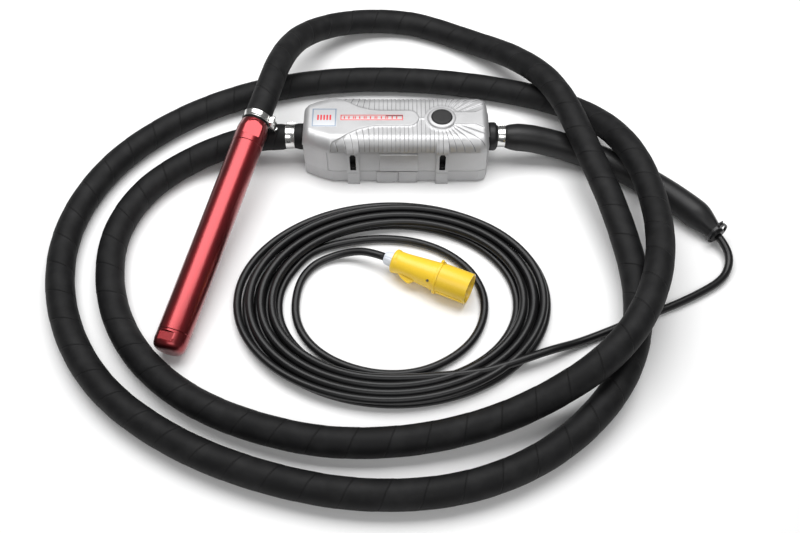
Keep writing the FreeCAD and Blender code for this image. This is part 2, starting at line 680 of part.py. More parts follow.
def cut_flats(shape, z0, z1, depth, turn):
    """A pair of spanner flats across the head, turned about its axis in degrees."""
    for side in (turn, turn + 180):
        flat = box(-20, 20, depth, 30, z0, z1)
        flat.rotate(Vector(0, 0, 0), UP, side)
        shape = shape.cut(flat)
    return shape


def make_nose_cap():
    dome = turned([(0, 0), (12, 0), (16.5, 1.8), (20, 5), (22.2, 9.2), (HEAD_RADIUS, NOSE_DOME),
                   (HEAD_RADIUS, NOSE_SEAM - SEAM_EDGE), (HEAD_RADIUS - SEAM_EDGE, NOSE_SEAM),
                   (HEAD_BORE - RUNNING_GAP, NOSE_SEAM),
                   (HEAD_BORE - RUNNING_GAP, 42), (17.4, 42), (17.4, 45.2), (HEAD_BORE - RUNNING_GAP, 45.2),
                   (HEAD_BORE - RUNNING_GAP, 50), (12, 50), (12, 30), (0, 30)])
    return cut_flats(dome, *NOSE_FLAT)


def make_top_adaptor():
    adaptor = turned([
        (MOTOR_LEAD_RADIUS + 0.5, 322.6), (17.4, 322.6), (HEAD_BORE - RUNNING_GAP, 322.6),
        (HEAD_BORE - RUNNING_GAP, 326), (17.4, 326), (17.4, 329.2), (HEAD_BORE - RUNNING_GAP, 329.2),
        (HEAD_BORE - RUNNING_GAP, TOP_SEAM), (HEAD_RADIUS - SEAM_EDGE, TOP_SEAM),
        (HEAD_RADIUS, TOP_SEAM + SEAM_EDGE), (HEAD_RADIUS, TAPER_START), (TAPER_RADIUS, HEAD_END),
        (HOSE_BORE - RUNNING_GAP, HEAD_END), (HOSE_BORE - RUNNING_GAP, HEAD_END + SPIGOT_LENGTH),
        (MOTOR_LEAD_RADIUS + 0.5, HEAD_END + SPIGOT_LENGTH),
    ])
    return cut_flats(adaptor, *TOP_FLAT)


def make_head_tube():
    return turned([
        (HEAD_BORE, NOSE_SEAM), (HEAD_RADIUS - SEAM_EDGE, NOSE_SEAM), (HEAD_RADIUS, NOSE_SEAM + SEAM_EDGE),
        (HEAD_RADIUS, TOP_SEAM - SEAM_EDGE), (HEAD_RADIUS - SEAM_EDGE, TOP_SEAM), (HEAD_BORE, TOP_SEAM),
    ])


def make_bearings():
    outer_radius = HEAD_BORE - RUNNING_GAP
    race = ROLLER_CIRCLE + ROLLER_RADIUS + RUNNING_GAP
    land = ROLLER_CIRCLE - ROLLER_RADIUS - RUNNING_GAP
    outers = []
    inners = []
    rollers = []
    cages = []
    clips = []
    for at in BEARING_AT:
        outers.append(ring(outer_radius, race, BEARING_WIDTH, Vector(0, 0, at)))
        inners.append(ring(land, SHAFT_RADIUS, BEARING_WIDTH, Vector(0, 0, at)))
        cage = ring(ROLLER_CIRCLE + 1.2, ROLLER_CIRCLE - 1.2, BEARING_WIDTH, Vector(0, 0, at))
        for index in range(ROLLER_COUNT):
            angle = math.radians(index * 360 / ROLLER_COUNT)
            place = Vector(ROLLER_CIRCLE * math.cos(angle), ROLLER_CIRCLE * math.sin(angle), at + 1)
            rollers.append(rod(ROLLER_RADIUS, BEARING_WIDTH - 2, place))
            cage = cage.cut(rod(ROLLER_RADIUS + 0.1, BEARING_WIDTH - 1.8, place - Vector(0, 0, 0.1)))
        cages.append(cage)
        clip = ring(outer_radius, 17, 1.5, Vector(0, 0, at + BEARING_WIDTH + 0.1))
        clips.append(clip.cut(box(-4, 4, 10, 30, at, at + 20)))
    save("bearing_outer_rings", place_head(group(outers)))
    save("bearing_inner_rings", place_head(group(inners)))
    save("bearing_rollers", place_head(group(rollers)))
    save("bearing_cages", place_head(group(cages)))
    save("bearing_circlips", place_head(group(clips[:2])))


def make_motor():
    core = ring(HEAD_BORE - RUNNING_GAP, 11.9, 90, Vector(0, 0, 203))
    for index in range(12):
        slot = box(-1.4, 1.4, 11, 16, 200, 300)
        slot.rotate(Vector(0, 0, 0), UP, index * 30)
        core = core.cut(slot)
    save("stator_core", place_head(core))
    turns = []
    for index in range(12):
        bar = box(-1.3, 1.3, 12.1, 15.8, 195, 301)
        bar.rotate(Vector(0, 0, 0), UP, index * 30)
        turns.append(bar)
    ends = [ring(17.5, 12.1, 12.5, Vector(0, 0, 190)), ring(17.5, 12.1, 12.5, Vector(0, 0, 293.5))]
    save("stator_windings", place_head(joined(ends + turns)))
    rotor = ring(11.4, SHAFT_RADIUS, 88, Vector(0, 0, 204))
    save("rotor_core", place_head(rotor))
    shaft = turned([(0, 52), (SHAFT_RADIUS - 0.6, 52), (SHAFT_RADIUS, 52.6), (SHAFT_RADIUS, 320.4),
                    (SHAFT_RADIUS - 0.6, 321), (0, 321)])
    save("rotor_shaft", place_head(shaft))
    weight = ring(ECCENTRIC_RADIUS, SHAFT_RADIUS, 98, Vector(0, 0, 70))
    weight = weight.cut(box(-30, 30, 1.5, 30, 60, 180))
    save("eccentric_weight", place_head(weight))


def make_head_clamp():
    z0 = HEAD_END + 3
    width = 11.0
    inner = HOSE_RADIUS + RUNNING_GAP
    band = ring(inner + 1.2, inner, width, Vector(0, 0, z0))
    overlap = ring(inner + 2.2, inner + 1.2, width, Vector(0, 0, z0))
    wedge = plate([(0, 0), (60, -26), (60, 26)], z0, z0 + width)
    wedge.rotate(Vector(0, 0, 0), UP, 300)
    band = band.fuse(overlap.common(wedge)).removeSplitter()
    save("head_clamp_band", place_head(band))
    housing = box(-inner - 9.4, -inner - 1.3, -9, 9, z0 - 1.5, z0 + width + 1.5)
    housing = housing.cut(rod(3.3, 60, Vector(-inner - 5.4, -30, z0 + width / 2), Vector(0, 1, 0)))
    housing = housing.cut(rod(inner + 1.3, width + 10, Vector(0, 0, z0 - 5)))
    save("head_clamp_worm_housing", place_head(housing))
    at = Vector(-inner - 5.4, 11, z0 + width / 2)
    screw = rod(3.1, 25, at, Vector(0, -1, 0))
    head = rod(4.2, 5.5, Vector(at.x, -14, at.z), Vector(0, -1, 0))
    screw = screw.fuse(head).cut(box(at.x - 6, at.x + 6, -30, -17.8, at.z - 0.6, at.z + 0.6))
    save("head_clamp_screw", place_head(screw.removeSplitter()))


def make_head():
    save("head_nose_cap", place_head(make_nose_cap()))
    save("head_tube", place_head(make_head_tube()))
    save("head_top_adaptor", place_head(make_top_adaptor()))
    seals = [ring(HEAD_BORE - RUNNING_GAP, 17.45, 2.6, Vector(0, 0, at)) for at in (42.3, 326.3)]
    save("head_seal_rings", place_head(group(seals)))
    make_bearings()
    make_motor()
    make_head_clamp()


def main():
    save("upper_casing", make_upper_casing())
    save("base_tray", make_base_tray())
    save("casing_gasket", make_gasket())
    save("casing_screws", make_casing_screws())
    save("nameplate", nameplate_block(LABEL_BED, LABEL_TOP))
    save("decal_strip", box(STRIP_LEFT, STRIP_RIGHT, -STRIP_HALF, STRIP_HALF, LABEL_BED, LABEL_TOP))
    make_button()
    make_electronics()
    make_spigots()
    save("output_ear_clamp", ear_clamp(*OUTPUT_CLAMP))
    save("input_ear_clamp", ear_clamp(*INPUT_CLAMP))
    make_hoses()
    make_supply_cable()
    make_plug()
    make_head()


main()
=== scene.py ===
import bpy, bmesh, math, random
from mathutils import Matrix, Vector


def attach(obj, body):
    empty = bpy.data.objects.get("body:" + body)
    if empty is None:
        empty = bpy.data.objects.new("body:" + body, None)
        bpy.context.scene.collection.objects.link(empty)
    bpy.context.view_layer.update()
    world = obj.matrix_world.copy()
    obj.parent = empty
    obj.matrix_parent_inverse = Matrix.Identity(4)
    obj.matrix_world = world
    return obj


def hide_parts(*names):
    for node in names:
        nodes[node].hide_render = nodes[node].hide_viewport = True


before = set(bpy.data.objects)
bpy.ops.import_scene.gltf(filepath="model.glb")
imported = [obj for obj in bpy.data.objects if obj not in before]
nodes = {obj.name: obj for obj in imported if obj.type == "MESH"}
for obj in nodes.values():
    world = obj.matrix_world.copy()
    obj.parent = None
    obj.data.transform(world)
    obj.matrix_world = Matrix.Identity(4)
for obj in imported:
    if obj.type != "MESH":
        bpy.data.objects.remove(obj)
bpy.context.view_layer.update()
print("frame loaded:", len(nodes), "CAD nodes")

scene = bpy.context.scene
scene.view_settings.view_transform = "Standard"
mm = 0.001

# ---- camera, floor and light ----

cameraSettings = {"place": (0.006, -0.998, 1.122), "tiltDown": 55.0, "lens": 42.5}
camera = bpy.data.objects.new("camera", bpy.data.cameras.new("camera"))
scene.collection.objects.link(camera)
camera.location = cameraSettings["place"]
camera.rotation_euler = (math.radians(90 - cameraSettings["tiltDown"]), 0, 0)
camera.data.lens = cameraSettings["lens"]
camera.data.sensor_width = 36.0
scene.camera = camera


def newObject(name, mesh):
    piece = bpy.data.objects.new(name, mesh)
    scene.collection.objects.link(piece)
    return piece


def areaLight(name, place, aim, size, power):
    data = bpy.data.lights.new(name, "AREA")
    data.shape = "RECTANGLE"
    data.size, data.size_y = size
    data.energy = power
    light = newObject(name, data)
    light.location = place
    light.rotation_euler = (Vector(aim) - Vector(place)).to_track_quat("-Z", "Y").to_euler()
    return light


lightSettings = {
    "overheadSoftbox": ((-0.12, 0.32, 1.5), (-0.12, 0.25, 0), (2.0, 1.15), 36),
    "frontFill": ((0.3, -1.9, 2.0), (0.1, -0.3, 0), (2.0, 1.2), 19),
}
for name, (place, aim, size, power) in lightSettings.items():
    areaLight(name, place, aim, size, power)
world = bpy.data.worlds.new("studio")
scene.world = world
world.use_nodes = True
world.node_tree.nodes["Background"].inputs["Color"].default_value = (1, 1, 1, 1)
world.node_tree.nodes["Background"].inputs["Strength"].default_value = 0.18


# ---- materials ----

def newMaterial(name, color, roughness=0.5, metallic=0.0, **sockets):
    material = bpy.data.materials.new(name)
    material.use_nodes = True
    shader = material.node_tree.nodes["Principled BSDF"]
    shader.inputs["Base Color"].default_value = (*color, 1)
    shader.inputs["Roughness"].default_value = roughness
    shader.inputs["Metallic"].default_value = metallic
    for socket, value in sockets.items():
        shader.inputs[socket.replace("_", " ")].default_value = value
    return material


def addNode(material, kind, **settings):
    node = material.node_tree.nodes.new(kind)
    for key, value in settings.items():
        setattr(node, key, value)
    return node


def link(material, output, target):
    material.node_tree.links.new(output, target)


def shaderOf(material):
    return material.node_tree.nodes["Principled BSDF"]


def maskBetween(material, value, low, high):
    # 1 where the value lies between low and high
    above = addNode(material, "ShaderNodeMath", operation="GREATER_THAN")
    above.inputs[1].default_value = low
    below = addNode(material, "ShaderNodeMath", operation="LESS_THAN")
    below.inputs[1].default_value = high
    both = addNode(material, "ShaderNodeMath", operation="MULTIPLY")
    link(material, value, above.inputs[0])
    link(material, value, below.inputs[0])
    link(material, above.outputs[0], both.inputs[0])
    link(material, below.outputs[0], both.inputs[1])
    return both.outputs[0]


def combine(material, operation, first, second):
    node = addNode(material, "ShaderNodeMath", operation=operation)
    for socket, value in zip(node.inputs, (first, second)):
        if isinstance(value, float):
            socket.default_value = value
        else:
            link(material, value, socket)
    return node.outputs[0]


def paintOver(material, color, mask, ink):
    # lays an ink over what a colour socket already gives, where the mask is 1
    mix = addNode(material, "ShaderNodeMix", data_type="RGBA")
    link(material, mask, mix.inputs["Factor"])
    link(material, color, mix.inputs["A"])
    mix.inputs["B"].default_value = (*ink, 1)
    return mix.outputs["Result"]


def objectPlace(material):
    coords = addNode(material, "ShaderNodeTexCoord")
    split = addNode(material, "ShaderNodeSeparateXYZ")
    link(material, coords.outputs["Object"], split.inputs[0])
    return coords.outputs["Object"], split.outputs


def rectangle(material, centre, half):
    # 1 inside a rectangle seen from above, its centre and half sizes in mm
    axes = objectPlace(material)[1]
    inside = None
    for axis, middle, reach in zip("XY", centre, half):
        away = combine(material, "ABSOLUTE", combine(material, "SUBTRACT", axes[axis], middle * mm), 0.0)
        within = combine(material, "LESS_THAN", away, reach * mm)
        inside = within if inside is None else combine(material, "MULTIPLY", inside, within)
    return inside


def noiseOver(material, place, scale, detail=2.0):
    noise = addNode(material, "ShaderNodeTexNoise")
    noise.inputs["Scale"].default_value = scale
    noise.inputs["Detail"].default_value = detail
    link(material, place, noise.inputs["Vector"])
    return noise.outputs["Fac"]


def rampOver(material, value, stops):
    ramp = addNode(material, "ShaderNodeValToRGB")
    marks = ramp.color_ramp.elements
    for number, (position, color) in enumerate(stops):
        mark = marks[number] if number < 2 else marks.new(position)
        mark.position = position
        mark.color = (*color, 1)
    link(material, value, ramp.inputs["Fac"])
    return ramp.outputs["Color"]


def bumpFrom(material, height, strength, distance, under=None):
    bump = addNode(material, "ShaderNodeBump")
    bump.inputs["Strength"].default_value = strength
    bump.inputs["Distance"].default_value = distance
    link(material, height, bump.inputs["Height"])
    if under:
        link(material, under, bump.inputs["Normal"])
    return bump.outputs["Normal"]


def groupWith(name, inputs, outputs):
    group = bpy.data.node_groups.new(name, "ShaderNodeTree")
    for label, kind, value in inputs:
        socket = group.interface.new_socket(label, in_out="INPUT", socket_type=kind)
        if value is not None:
            socket.default_value = value
    for label, kind in outputs:
        group.interface.new_socket(label, in_out="OUTPUT", socket_type=kind)
    return group, group.nodes.new("NodeGroupInput"), group.nodes.new("NodeGroupOutput")


def surfaceGrain():
    # soft colour drift, roughness drift and a fine bump, in one group for every finish
    group, given, out = groupWith(
        "surfaceGrain",
        [("Color", "NodeSocketColor", (0.5, 0.5, 0.5, 1)), ("Grain Size", "NodeSocketFloat", 900.0),
         ("Drift", "NodeSocketFloat", 0.1), ("Roughness", "NodeSocketFloat", 0.5),
         ("Rough Spread", "NodeSocketFloat", 0.1), ("Bump", "NodeSocketFloat", 0.1)],
        [("Color", "NodeSocketColor"), ("Roughness", "NodeSocketFloat"), ("Normal", "NodeSocketVector")],
    )
    coords = group.nodes.new("ShaderNodeTexCoord")

    def noise(scale, detail):
        node = group.nodes.new("ShaderNodeTexNoise")
        node.inputs["Detail"].default_value = detail
        group.links.new(coords.outputs["Object"], node.inputs["Vector"])
        if isinstance(scale, float):
            node.inputs["Scale"].default_value = scale
        else:
            group.links.new(scale, node.inputs["Scale"])
        return node.outputs["Fac"]

    def worked(operation, *values):
        node = group.nodes.new("ShaderNodeMath")
        node.operation = operation
        for socket, value in zip(node.inputs, values):
            if isinstance(value, float):
                socket.default_value = value
            else:
                group.links.new(value, socket)
        return node.outputs[0]

    fine = noise(given.outputs["Grain Size"], 4)
    wide = noise(28.0, 3)
    centred = worked("SUBTRACT", worked("ADD", fine, wide), 1.0)
    drift = worked("MULTIPLY_ADD", centred, given.outputs["Drift"], 1.0)
    tinted = group.nodes.new("ShaderNodeVectorMath")
    tinted.operation = "SCALE"
    group.links.new(given.outputs["Color"], tinted.inputs[0])
    group.links.new(drift, tinted.inputs["Scale"])
    group.links.new(tinted.outputs[0], out.inputs["Color"])
    rough = worked("MULTIPLY_ADD", centred, given.outputs["Rough Spread"], given.outputs["Roughness"])
    group.links.new(rough, out.inputs["Roughness"])
    bump = group.nodes.new("ShaderNodeBump")
    bump.inputs["Distance"].default_value = 0.0002
    group.links.new(given.outputs["Bump"], bump.inputs["Strength"])
    group.links.new(fine, bump.inputs["Height"])
    group.links.new(bump.outputs["Normal"], out.inputs["Normal"])
    return group


grainGroup = surfaceGrain()


def grained(name, color, roughness, metallic=0.0, grainSize=900.0, drift=0.1, roughSpread=0.1, bump=0.1, **sockets):
    material = newMaterial(name, color, roughness, metallic, **sockets)
    grain = addNode(material, "ShaderNodeGroup", node_tree=grainGroup)
    values = {"Grain Size": grainSize, "Drift": drift, "Roughness": roughness,
              "Rough Spread": roughSpread, "Bump": bump}
    for socket, value in values.items():
        grain.inputs[socket].default_value = value
    grain.inputs["Color"].default_value = (*color, 1)
    shader = shaderOf(material)
    link(material, grain.outputs["Color"], shader.inputs["Base Color"])
    link(material, grain.outputs["Roughness"], shader.inputs["Roughness"])
    link(material, grain.outputs["Normal"], shader.inputs["Normal"])
    return material


floorMaterial = newMaterial("paleFloor", (0.93, 0.93, 0.93), 0.6)
floorMesh = bpy.data.meshes.new("floor")
builder = bmesh.new()
bmesh.ops.create_grid(builder, x_segments=1, y_segments=1, size=6)
builder.to_mesh(floorMesh)
builder.free()
floorMesh.transform(Matrix.Translation((0, 0, -0.0006)))
floorMesh.materials.append(floorMaterial)
floor = newObject("floor", floorMesh)
print("camera, floor and light ready")

# ---- cords: the smooth line of a route, and a tube round it ----


def smoothLine(name, route, steps=10):
    # the route's points steer a NURBS line; what comes back is read from that line
    curve = bpy.data.curves.new(name, "CURVE")
    curve.dimensions = "3D"
    spline = curve.splines.new("NURBS")
    spline.points.add(len(route) - 1)
    for point, place in zip(spline.points, route):
        point.co = (place[0] * mm, place[1] * mm, place[2] * mm, 1)
    spline.order_u = 3
    spline.use_endpoint_u = True
    spline.resolution_u = steps
    holder = newObject(name, curve)
    bpy.context.view_layer.update()
    mesh = bpy.data.meshes.new_from_object(holder)
    line = [vertex.co.copy() for vertex in mesh.vertices]
    bpy.data.objects.remove(holder)
    bpy.data.meshes.remove(mesh)
    return line


def lineLength(line):
    return sum((b - a).length for a, b in zip(line, line[1:]))


def evenly(line, step):
    # the same line with its points a fixed step apart
    places = [line[0].copy()]
    left = step
    for a, b in zip(line, line[1:]):
        run = (b - a).length
        while left <= run:
            places.append(a.lerp(b, left / run))
            left += step
        left -= run
    if (places[-1] - line[-1]).length > step * 0.4:
        places.append(line[-1].copy())
    else:
        places[-1] = line[-1].copy()
    return places


def tubeAlong(name, line, radiusAt, sides=32, material=None):
    # one ring of edges is extruded and turned along the line; UVs hold metres along and share round
    builder = bmesh.new()
    uv = builder.loops.layers.uv.new("along")
    side = None
    ring = None
    walked = 0.0
    for index, place in enumerate(line):
        ahead = line[min(index + 1, len(line) - 1)]
        behind = line[max(index - 1, 0)]
        forward = (ahead - behind).normalized()
        if side is None:
            side = Vector((0, 0, 1)).cross(forward).normalized()
        side = (side - forward * side.dot(forward)).normalized()
        lift = forward.cross(side)
        if index:
            walked += (place - line[index - 1]).length
        if ring is None:
            made = bmesh.ops.create_circle(builder, cap_ends=False, segments=sides, radius=0.01)
            ring = made["verts"]
            edges = list(builder.edges)
        else:
            made = bmesh.ops.extrude_edge_only(builder, edges=edges)
            edges = [item for item in made["geom"] if isinstance(item, bmesh.types.BMEdge)]
            after = [item for item in made["geom"] if isinstance(item, bmesh.types.BMVert)]
            newFaces = [item for item in made["geom"] if isinstance(item, bmesh.types.BMFace)]
            # the extruded vertices come in the order of the edges' vertices, so they are matched by place
            order = {tuple(round(c, 7) for c in vertex.co): vertex for vertex in after}
            ring = [order[tuple(round(c, 7) for c in vertex.co)] for vertex in ring]
        for number, vertex in enumerate(ring):
            turn = 2 * math.pi * number / sides
            radius = radiusAt(walked, number / sides)
            vertex.co = place + (side * math.cos(turn) + lift * math.sin(turn)) * radius
        numbered = {vertex: number for number, vertex in enumerate(ring)}
        if index:
            for face in newFaces:
                numbers = [numbered.get(loop.vert, numberedBefore.get(loop.vert)) for loop in face.loops]
                wraps = max(numbers) - min(numbers) > 1
                for loop, number in zip(face.loops, numbers):
                    across = 1.0 if wraps and number == 0 else number / sides
                    loop[uv].uv = (walked if loop.vert in numbered else walkedBefore, across)
        numberedBefore, walkedBefore = numbered, walked
    rims = [edge for edge in builder.edges if edge.is_boundary]
    bmesh.ops.holes_fill(builder, edges=rims, sides=0)
    bmesh.ops.recalc_face_normals(builder, faces=builder.faces)
    mesh = bpy.data.meshes.new(name)
    builder.to_mesh(mesh)
    builder.free()
    mesh.shade_smooth()
    if material:
        mesh.materials.append(material)
    return newObject(name, mesh)


def wrappedHoseMaterial(name):
    # rubberised cloth tape wound round the hose: the lap's edge shows as a fine slanting line of painted shade, each
    # lap painted a little darker towards its next edge
    settings = {"lapEdge": 0.035, "lapFull": 0.97, "weave": 1500.0, "scuff": 45.0, "lapShade": 0.55}
    material = newMaterial(name, (0.008, 0.008, 0.0085), 0.62, Specular_IOR_Level=0.22)
    uv = addNode(material, "ShaderNodeUVMap", uv_map="along")
    split = addNode(material, "ShaderNodeSeparateXYZ")
    link(material, uv.outputs["UV"], split.inputs[0])
    turns = combine(material, "DIVIDE", split.outputs["X"], hoseSettings["lapPitch"])
    lap = combine(material, "FRACT", combine(material, "ADD", turns, split.outputs["Y"]), 0.0)
    profile = rampOver(material, lap, [
        (0.0, (0, 0, 0)), (settings["lapEdge"], (1, 1, 1)), (settings["lapFull"], (0.75, 0.75, 0.75)),
        (1.0, (0, 0, 0)),
    ])
    place = objectPlace(material)[0]
    cloth = noiseOver(material, place, settings["weave"])
    scuff = noiseOver(material, place, settings["scuff"], 5)
    dust = rampOver(material, scuff, [(0.42, (0.0045, 0.0045, 0.005)), (0.75, (0.013, 0.013, 0.0135))])
    # painted shade: the lap profile multiplies the colour down at each lap's edge
    shade = addNode(material, "ShaderNodeMix", data_type="RGBA", blend_type="MULTIPLY")
    shade.inputs["Factor"].default_value = settings["lapShade"]
    link(material, dust, shade.inputs["A"])
    link(material, profile, shade.inputs["B"])
    link(material, shade.outputs["Result"], shaderOf(material).inputs["Base Color"])
    ridge = bumpFrom(material, profile, 0.7, 0.0009)
    link(material, bumpFrom(material, cloth, 0.35, 0.0003, ridge), shaderOf(material).inputs["Normal"])
    return material


# the poker head's line, which the hose's far end and the head's own pieces share

headSettings = {"rim": (-302.5, -354.0), "radius": 23.0, "dome": 13.0, "end": 374.0,
                "noseSeam": 26.0, "topSeam": 334.0, "taperFrom": 360.0, "neck": 20.4, "tilt": 9.6, "heading": 14.8}
headTilt = math.radians(headSettings["tilt"])
headHeading = math.radians(headSettings["heading"])
headAxis = Vector((
    math.sin(headHeading) * math.cos(headTilt), math.cos(headHeading) * math.cos(headTilt), math.sin(headTilt),
))
rimPlace = Vector((*headSettings["rim"], headSettings["radius"] * math.cos(headTilt)))
noseTip = rimPlace - headAxis * headSettings["dome"]
headHoseEnd = noseTip + headAxis * headSettings["end"]

hoseRoute = [
    (-140, 0, 46), (-190, 0, 46), (-250, 0, 33), (-320, -28, 21), (-380, -85, 20), (-411, -165, 20),
    (-406, -248, 20), (-380, -322, 20), (-333, -388, 20), (-262, -443, 20), (-172, -480, 20),
    (-70, -501, 20), (55, -492, 20), (175, -456, 32), (288, -398, 76), (356, -288, 78), (376, -155, 66),
    (350, -25, 67), (280, 88, 26), (150, 134, 20), (20, 152, 20), (-112, 150, 20), (-240, 120, 20),
    (-357, 54, 20), (-446, -43, 20), (-486, -170, 20), (-466, -300, 20), (-397, -415, 20),
    (-290, -494, 20), (-168, -544, 20), (-38, -570, 20), (95, -560, 20), (214, -505, 20),
    (305, -410, 32), (339, -290, 32), (320, -165, 54), (286, -40, 67), (252, 80, 75), (200, 170, 50),
    (125, 243, 20), (44, 284, 20), (-6, 293, 21), (-57, 288, 26), (-103, 267, 37), (-141, 233, 52),
    (-168, 188, 69), (-186, 120, 87), tuple(headHoseEnd + headAxis * 55), tuple(headHoseEnd),
]
hoseSettings = {"radius": 20.0, "clampFrom": 15.0, "clampTo": 29.0, "clampRadius": 18.0, "lapPitch": 0.048,
                "lapProud": 0.35}
hoseLine = evenly(smoothLine("hose route", hoseRoute), 5 * mm)
hoseLength = lineLength(hoseLine)


def hoseRadius(walked, turn):
    # a little squeezed at the ear clamp, and each lap of the tape stands a touch proud of the next
    along = walked / mm
    radius = hoseSettings["radius"]
    edge = min(abs(along - hoseSettings["clampFrom"]), abs(along - hoseSettings["clampTo"]))
    if hoseSettings["clampFrom"] <= along <= hoseSettings["clampTo"]:
        radius = hoseSettings["clampRadius"] - 0.1
    elif edge < 7:
        radius -= 1.6 * (1 - edge / 7) ** 2
    fromEnd = (hoseLength - walked) / mm
    if fromEnd < 14:
        radius += 0.25
    lap = (walked / hoseSettings["lapPitch"] + turn) % 1.0
    return (radius - hoseSettings["lapProud"] * (1 - lap) ** 2) * mm


mainHose = tubeAlong("mainHose", hoseLine, hoseRadius, 44, wrappedHoseMaterial("tapeWrappedHose"))
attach(mainHose, "body")
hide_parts("main_hose")
print("main hose: %.2f m" % hoseLength)

# ---- the grip hose between converter and cable ----

gripRoute = [
    (140, 0, 46), (190, 0, 46), (240, -2, 34), (295, -14, 22), (350, -44, 21), (395, -81, 21),
    (432, -118, 21.6), (456, -147, 20.5), (470, -170, 18),
]
gripSettings = {"radius": 21.0, "boot": 21.7, "clampFrom": 14.0, "clampTo": 27.0, "clampRadius": 15.3,
                "ridge": 38.0, "narrow": 48.0, "mouth": 11.5}
gripLine = evenly(smoothLine("grip route", gripRoute), 2 * mm)
gripLength = lineLength(gripLine)


def gripRadius(walked, turn):
    along = walked / mm
    radius = gripSettings["radius"]
    if along < gripSettings["clampFrom"]:
        chamfer = min(along, gripSettings["clampFrom"] - along)
        radius = gripSettings["boot"] - max(0.0, 2.6 - chamfer)
    elif along <= gripSettings["clampTo"]:
        radius = gripSettings["clampRadius"]
    elif along < gripSettings["ridge"] + 8:
        rise = (along - gripSettings["clampTo"]) / (gripSettings["ridge"] + 8 - gripSettings["clampTo"])
        radius = gripSettings["clampRadius"] + (gripSettings["radius"] - gripSettings["clampRadius"]) * rise ** 0.45
    fromEnd = (gripLength - walked) / mm
    if fromEnd < gripSettings["narrow"]:
        share = 1 - fromEnd / gripSettings["narrow"]
        gather = share * share * (3 - 2 * share)
        radius += (gripSettings["mouth"] - radius) * gather
        radius += 0.9 * gather * math.sin(6 * 2 * math.pi * turn) * (1 - abs(2 * share - 1) * 0.5)
    return radius * mm


gripMaterial = grained("gripHoseRubber", (0.010, 0.010, 0.0105), 0.42, grainSize=700, bump=0.12, roughSpread=0.15,
                       Specular_IOR_Level=0.3)
gripHose = tubeAlong("gripHose", gripLine, gripRadius, 48, gripMaterial)
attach(gripHose, "body")
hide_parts("grip_hose")

# ---- supply cable: grip end, over the coil, round its turns and out to the plug ----

cableSettings = {"radius": 5.75, "topTurns": 3.4, "floorTurns": 4.0, "topHeight": 17.1, "floorHeight": 5.9,
                 "perTurn": 14, "dropFrom": 0.93}
leadRoute = [
    (470, -170, 18), (478, -184, 16), (483, -206, 11), (475, -228, 6), (460, -244, 6), (438, -258, 6),
    (405, -276, 6), (365, -294, 6), (325, -311, 6), (285, -329, 6), (247, -345, 7), (216, -358, 15),
    (186, -370, 17.3), (150, -384, 17.3), (108, -397, 17.2),
]
tailRoute = [
    (-15.4, -212.6, 24), (-37, -202.5, 23), (-63, -196, 15), (-92, -199, 7), (-117, -212, 6), (-134, -235, 6),
    (-141, -266, 6), (-140, -302, 6), (-127, -334, 6), (-101, -362, 6), (-64, -382, 6), (-20, -393, 6),
    (28, -391, 6), (72, -372, 6), (106, -342, 6), (124, -303, 6), (125, -262, 6), (107, -222, 6),
    (74, -191, 6), (34, -173, 6), (-8, -166, 6), (-52, -168, 6), (-108, -182, 6),
]


def coilPlace(across, angle, height):
    # across runs from 0 at the inner strand to 1 at the outer one
    centreX = -3 * across
    centreY = -278 + 5 * across
    return (
        centreX + (166.75 + 58.5 * across) * math.cos(angle),
        centreY + (128.25 + 46.0 * across) * math.sin(angle),
        height,
    )


def coilTurns():
    # the upper turns wander outwards over the floor turns, which then wind inwards
    random.seed(11)
    points = []
    startAngle = math.radians(-72)
    perTurn, dropFrom = cableSettings["perTurn"], cableSettings["dropFrom"]
    total = int(cableSettings["topTurns"] * perTurn)
    for step in range(1, total + 1):
        share = step / total
        angle = startAngle - share * cableSettings["topTurns"] * 2 * math.pi
        across = 0.06 + 0.9 * share + 0.05 * math.sin(2 * angle + 0.6)
        across = min(across, 1.0)
        height = cableSettings["topHeight"] + random.uniform(-0.4, 0.2)
        if share > dropFrom:
            drop = (share - dropFrom) / (1 - dropFrom)
            across += 0.06 * drop
            height -= (height - cableSettings["floorHeight"]) * drop
        points.append(coilPlace(across, angle, height))
    endAngle = angle
    total = int(cableSettings["floorTurns"] * perTurn)
    for step in range(1, total + 1):
        share = step / total
        angle = endAngle - share * cableSettings["floorTurns"] * 2 * math.pi
        across = 1.0 - 0.985 * share
        swell = max(0.0, abs(math.cos(angle)) - 0.5)
        across += 0.05 * swell * math.sin(3.1 * share * cableSettings["floorTurns"])
        points.append(coilPlace(min(across, 1.0), angle, cableSettings["floorHeight"]))
    return points


cableRoute = leadRoute + coilTurns() + tailRoute[::-1]
cableLine = evenly(smoothLine("cable route", cableRoute, 8), 6 * mm)
cableLength = lineLength(cableLine)
cableMaterial = grained("cableRubber", (0.006, 0.006, 0.0065), 0.34, grainSize=1400, bump=0.06,
                        roughSpread=0.12, drift=0.15, Specular_IOR_Level=0.36)
supplyCable = tubeAlong("supplyCable", cableLine, lambda walked, turn: cableSettings["radius"] * mm, 16, cableMaterial)
print("supply cable: %.2f m" % cableLength, "grip hose: %.3f m" % gripLength)

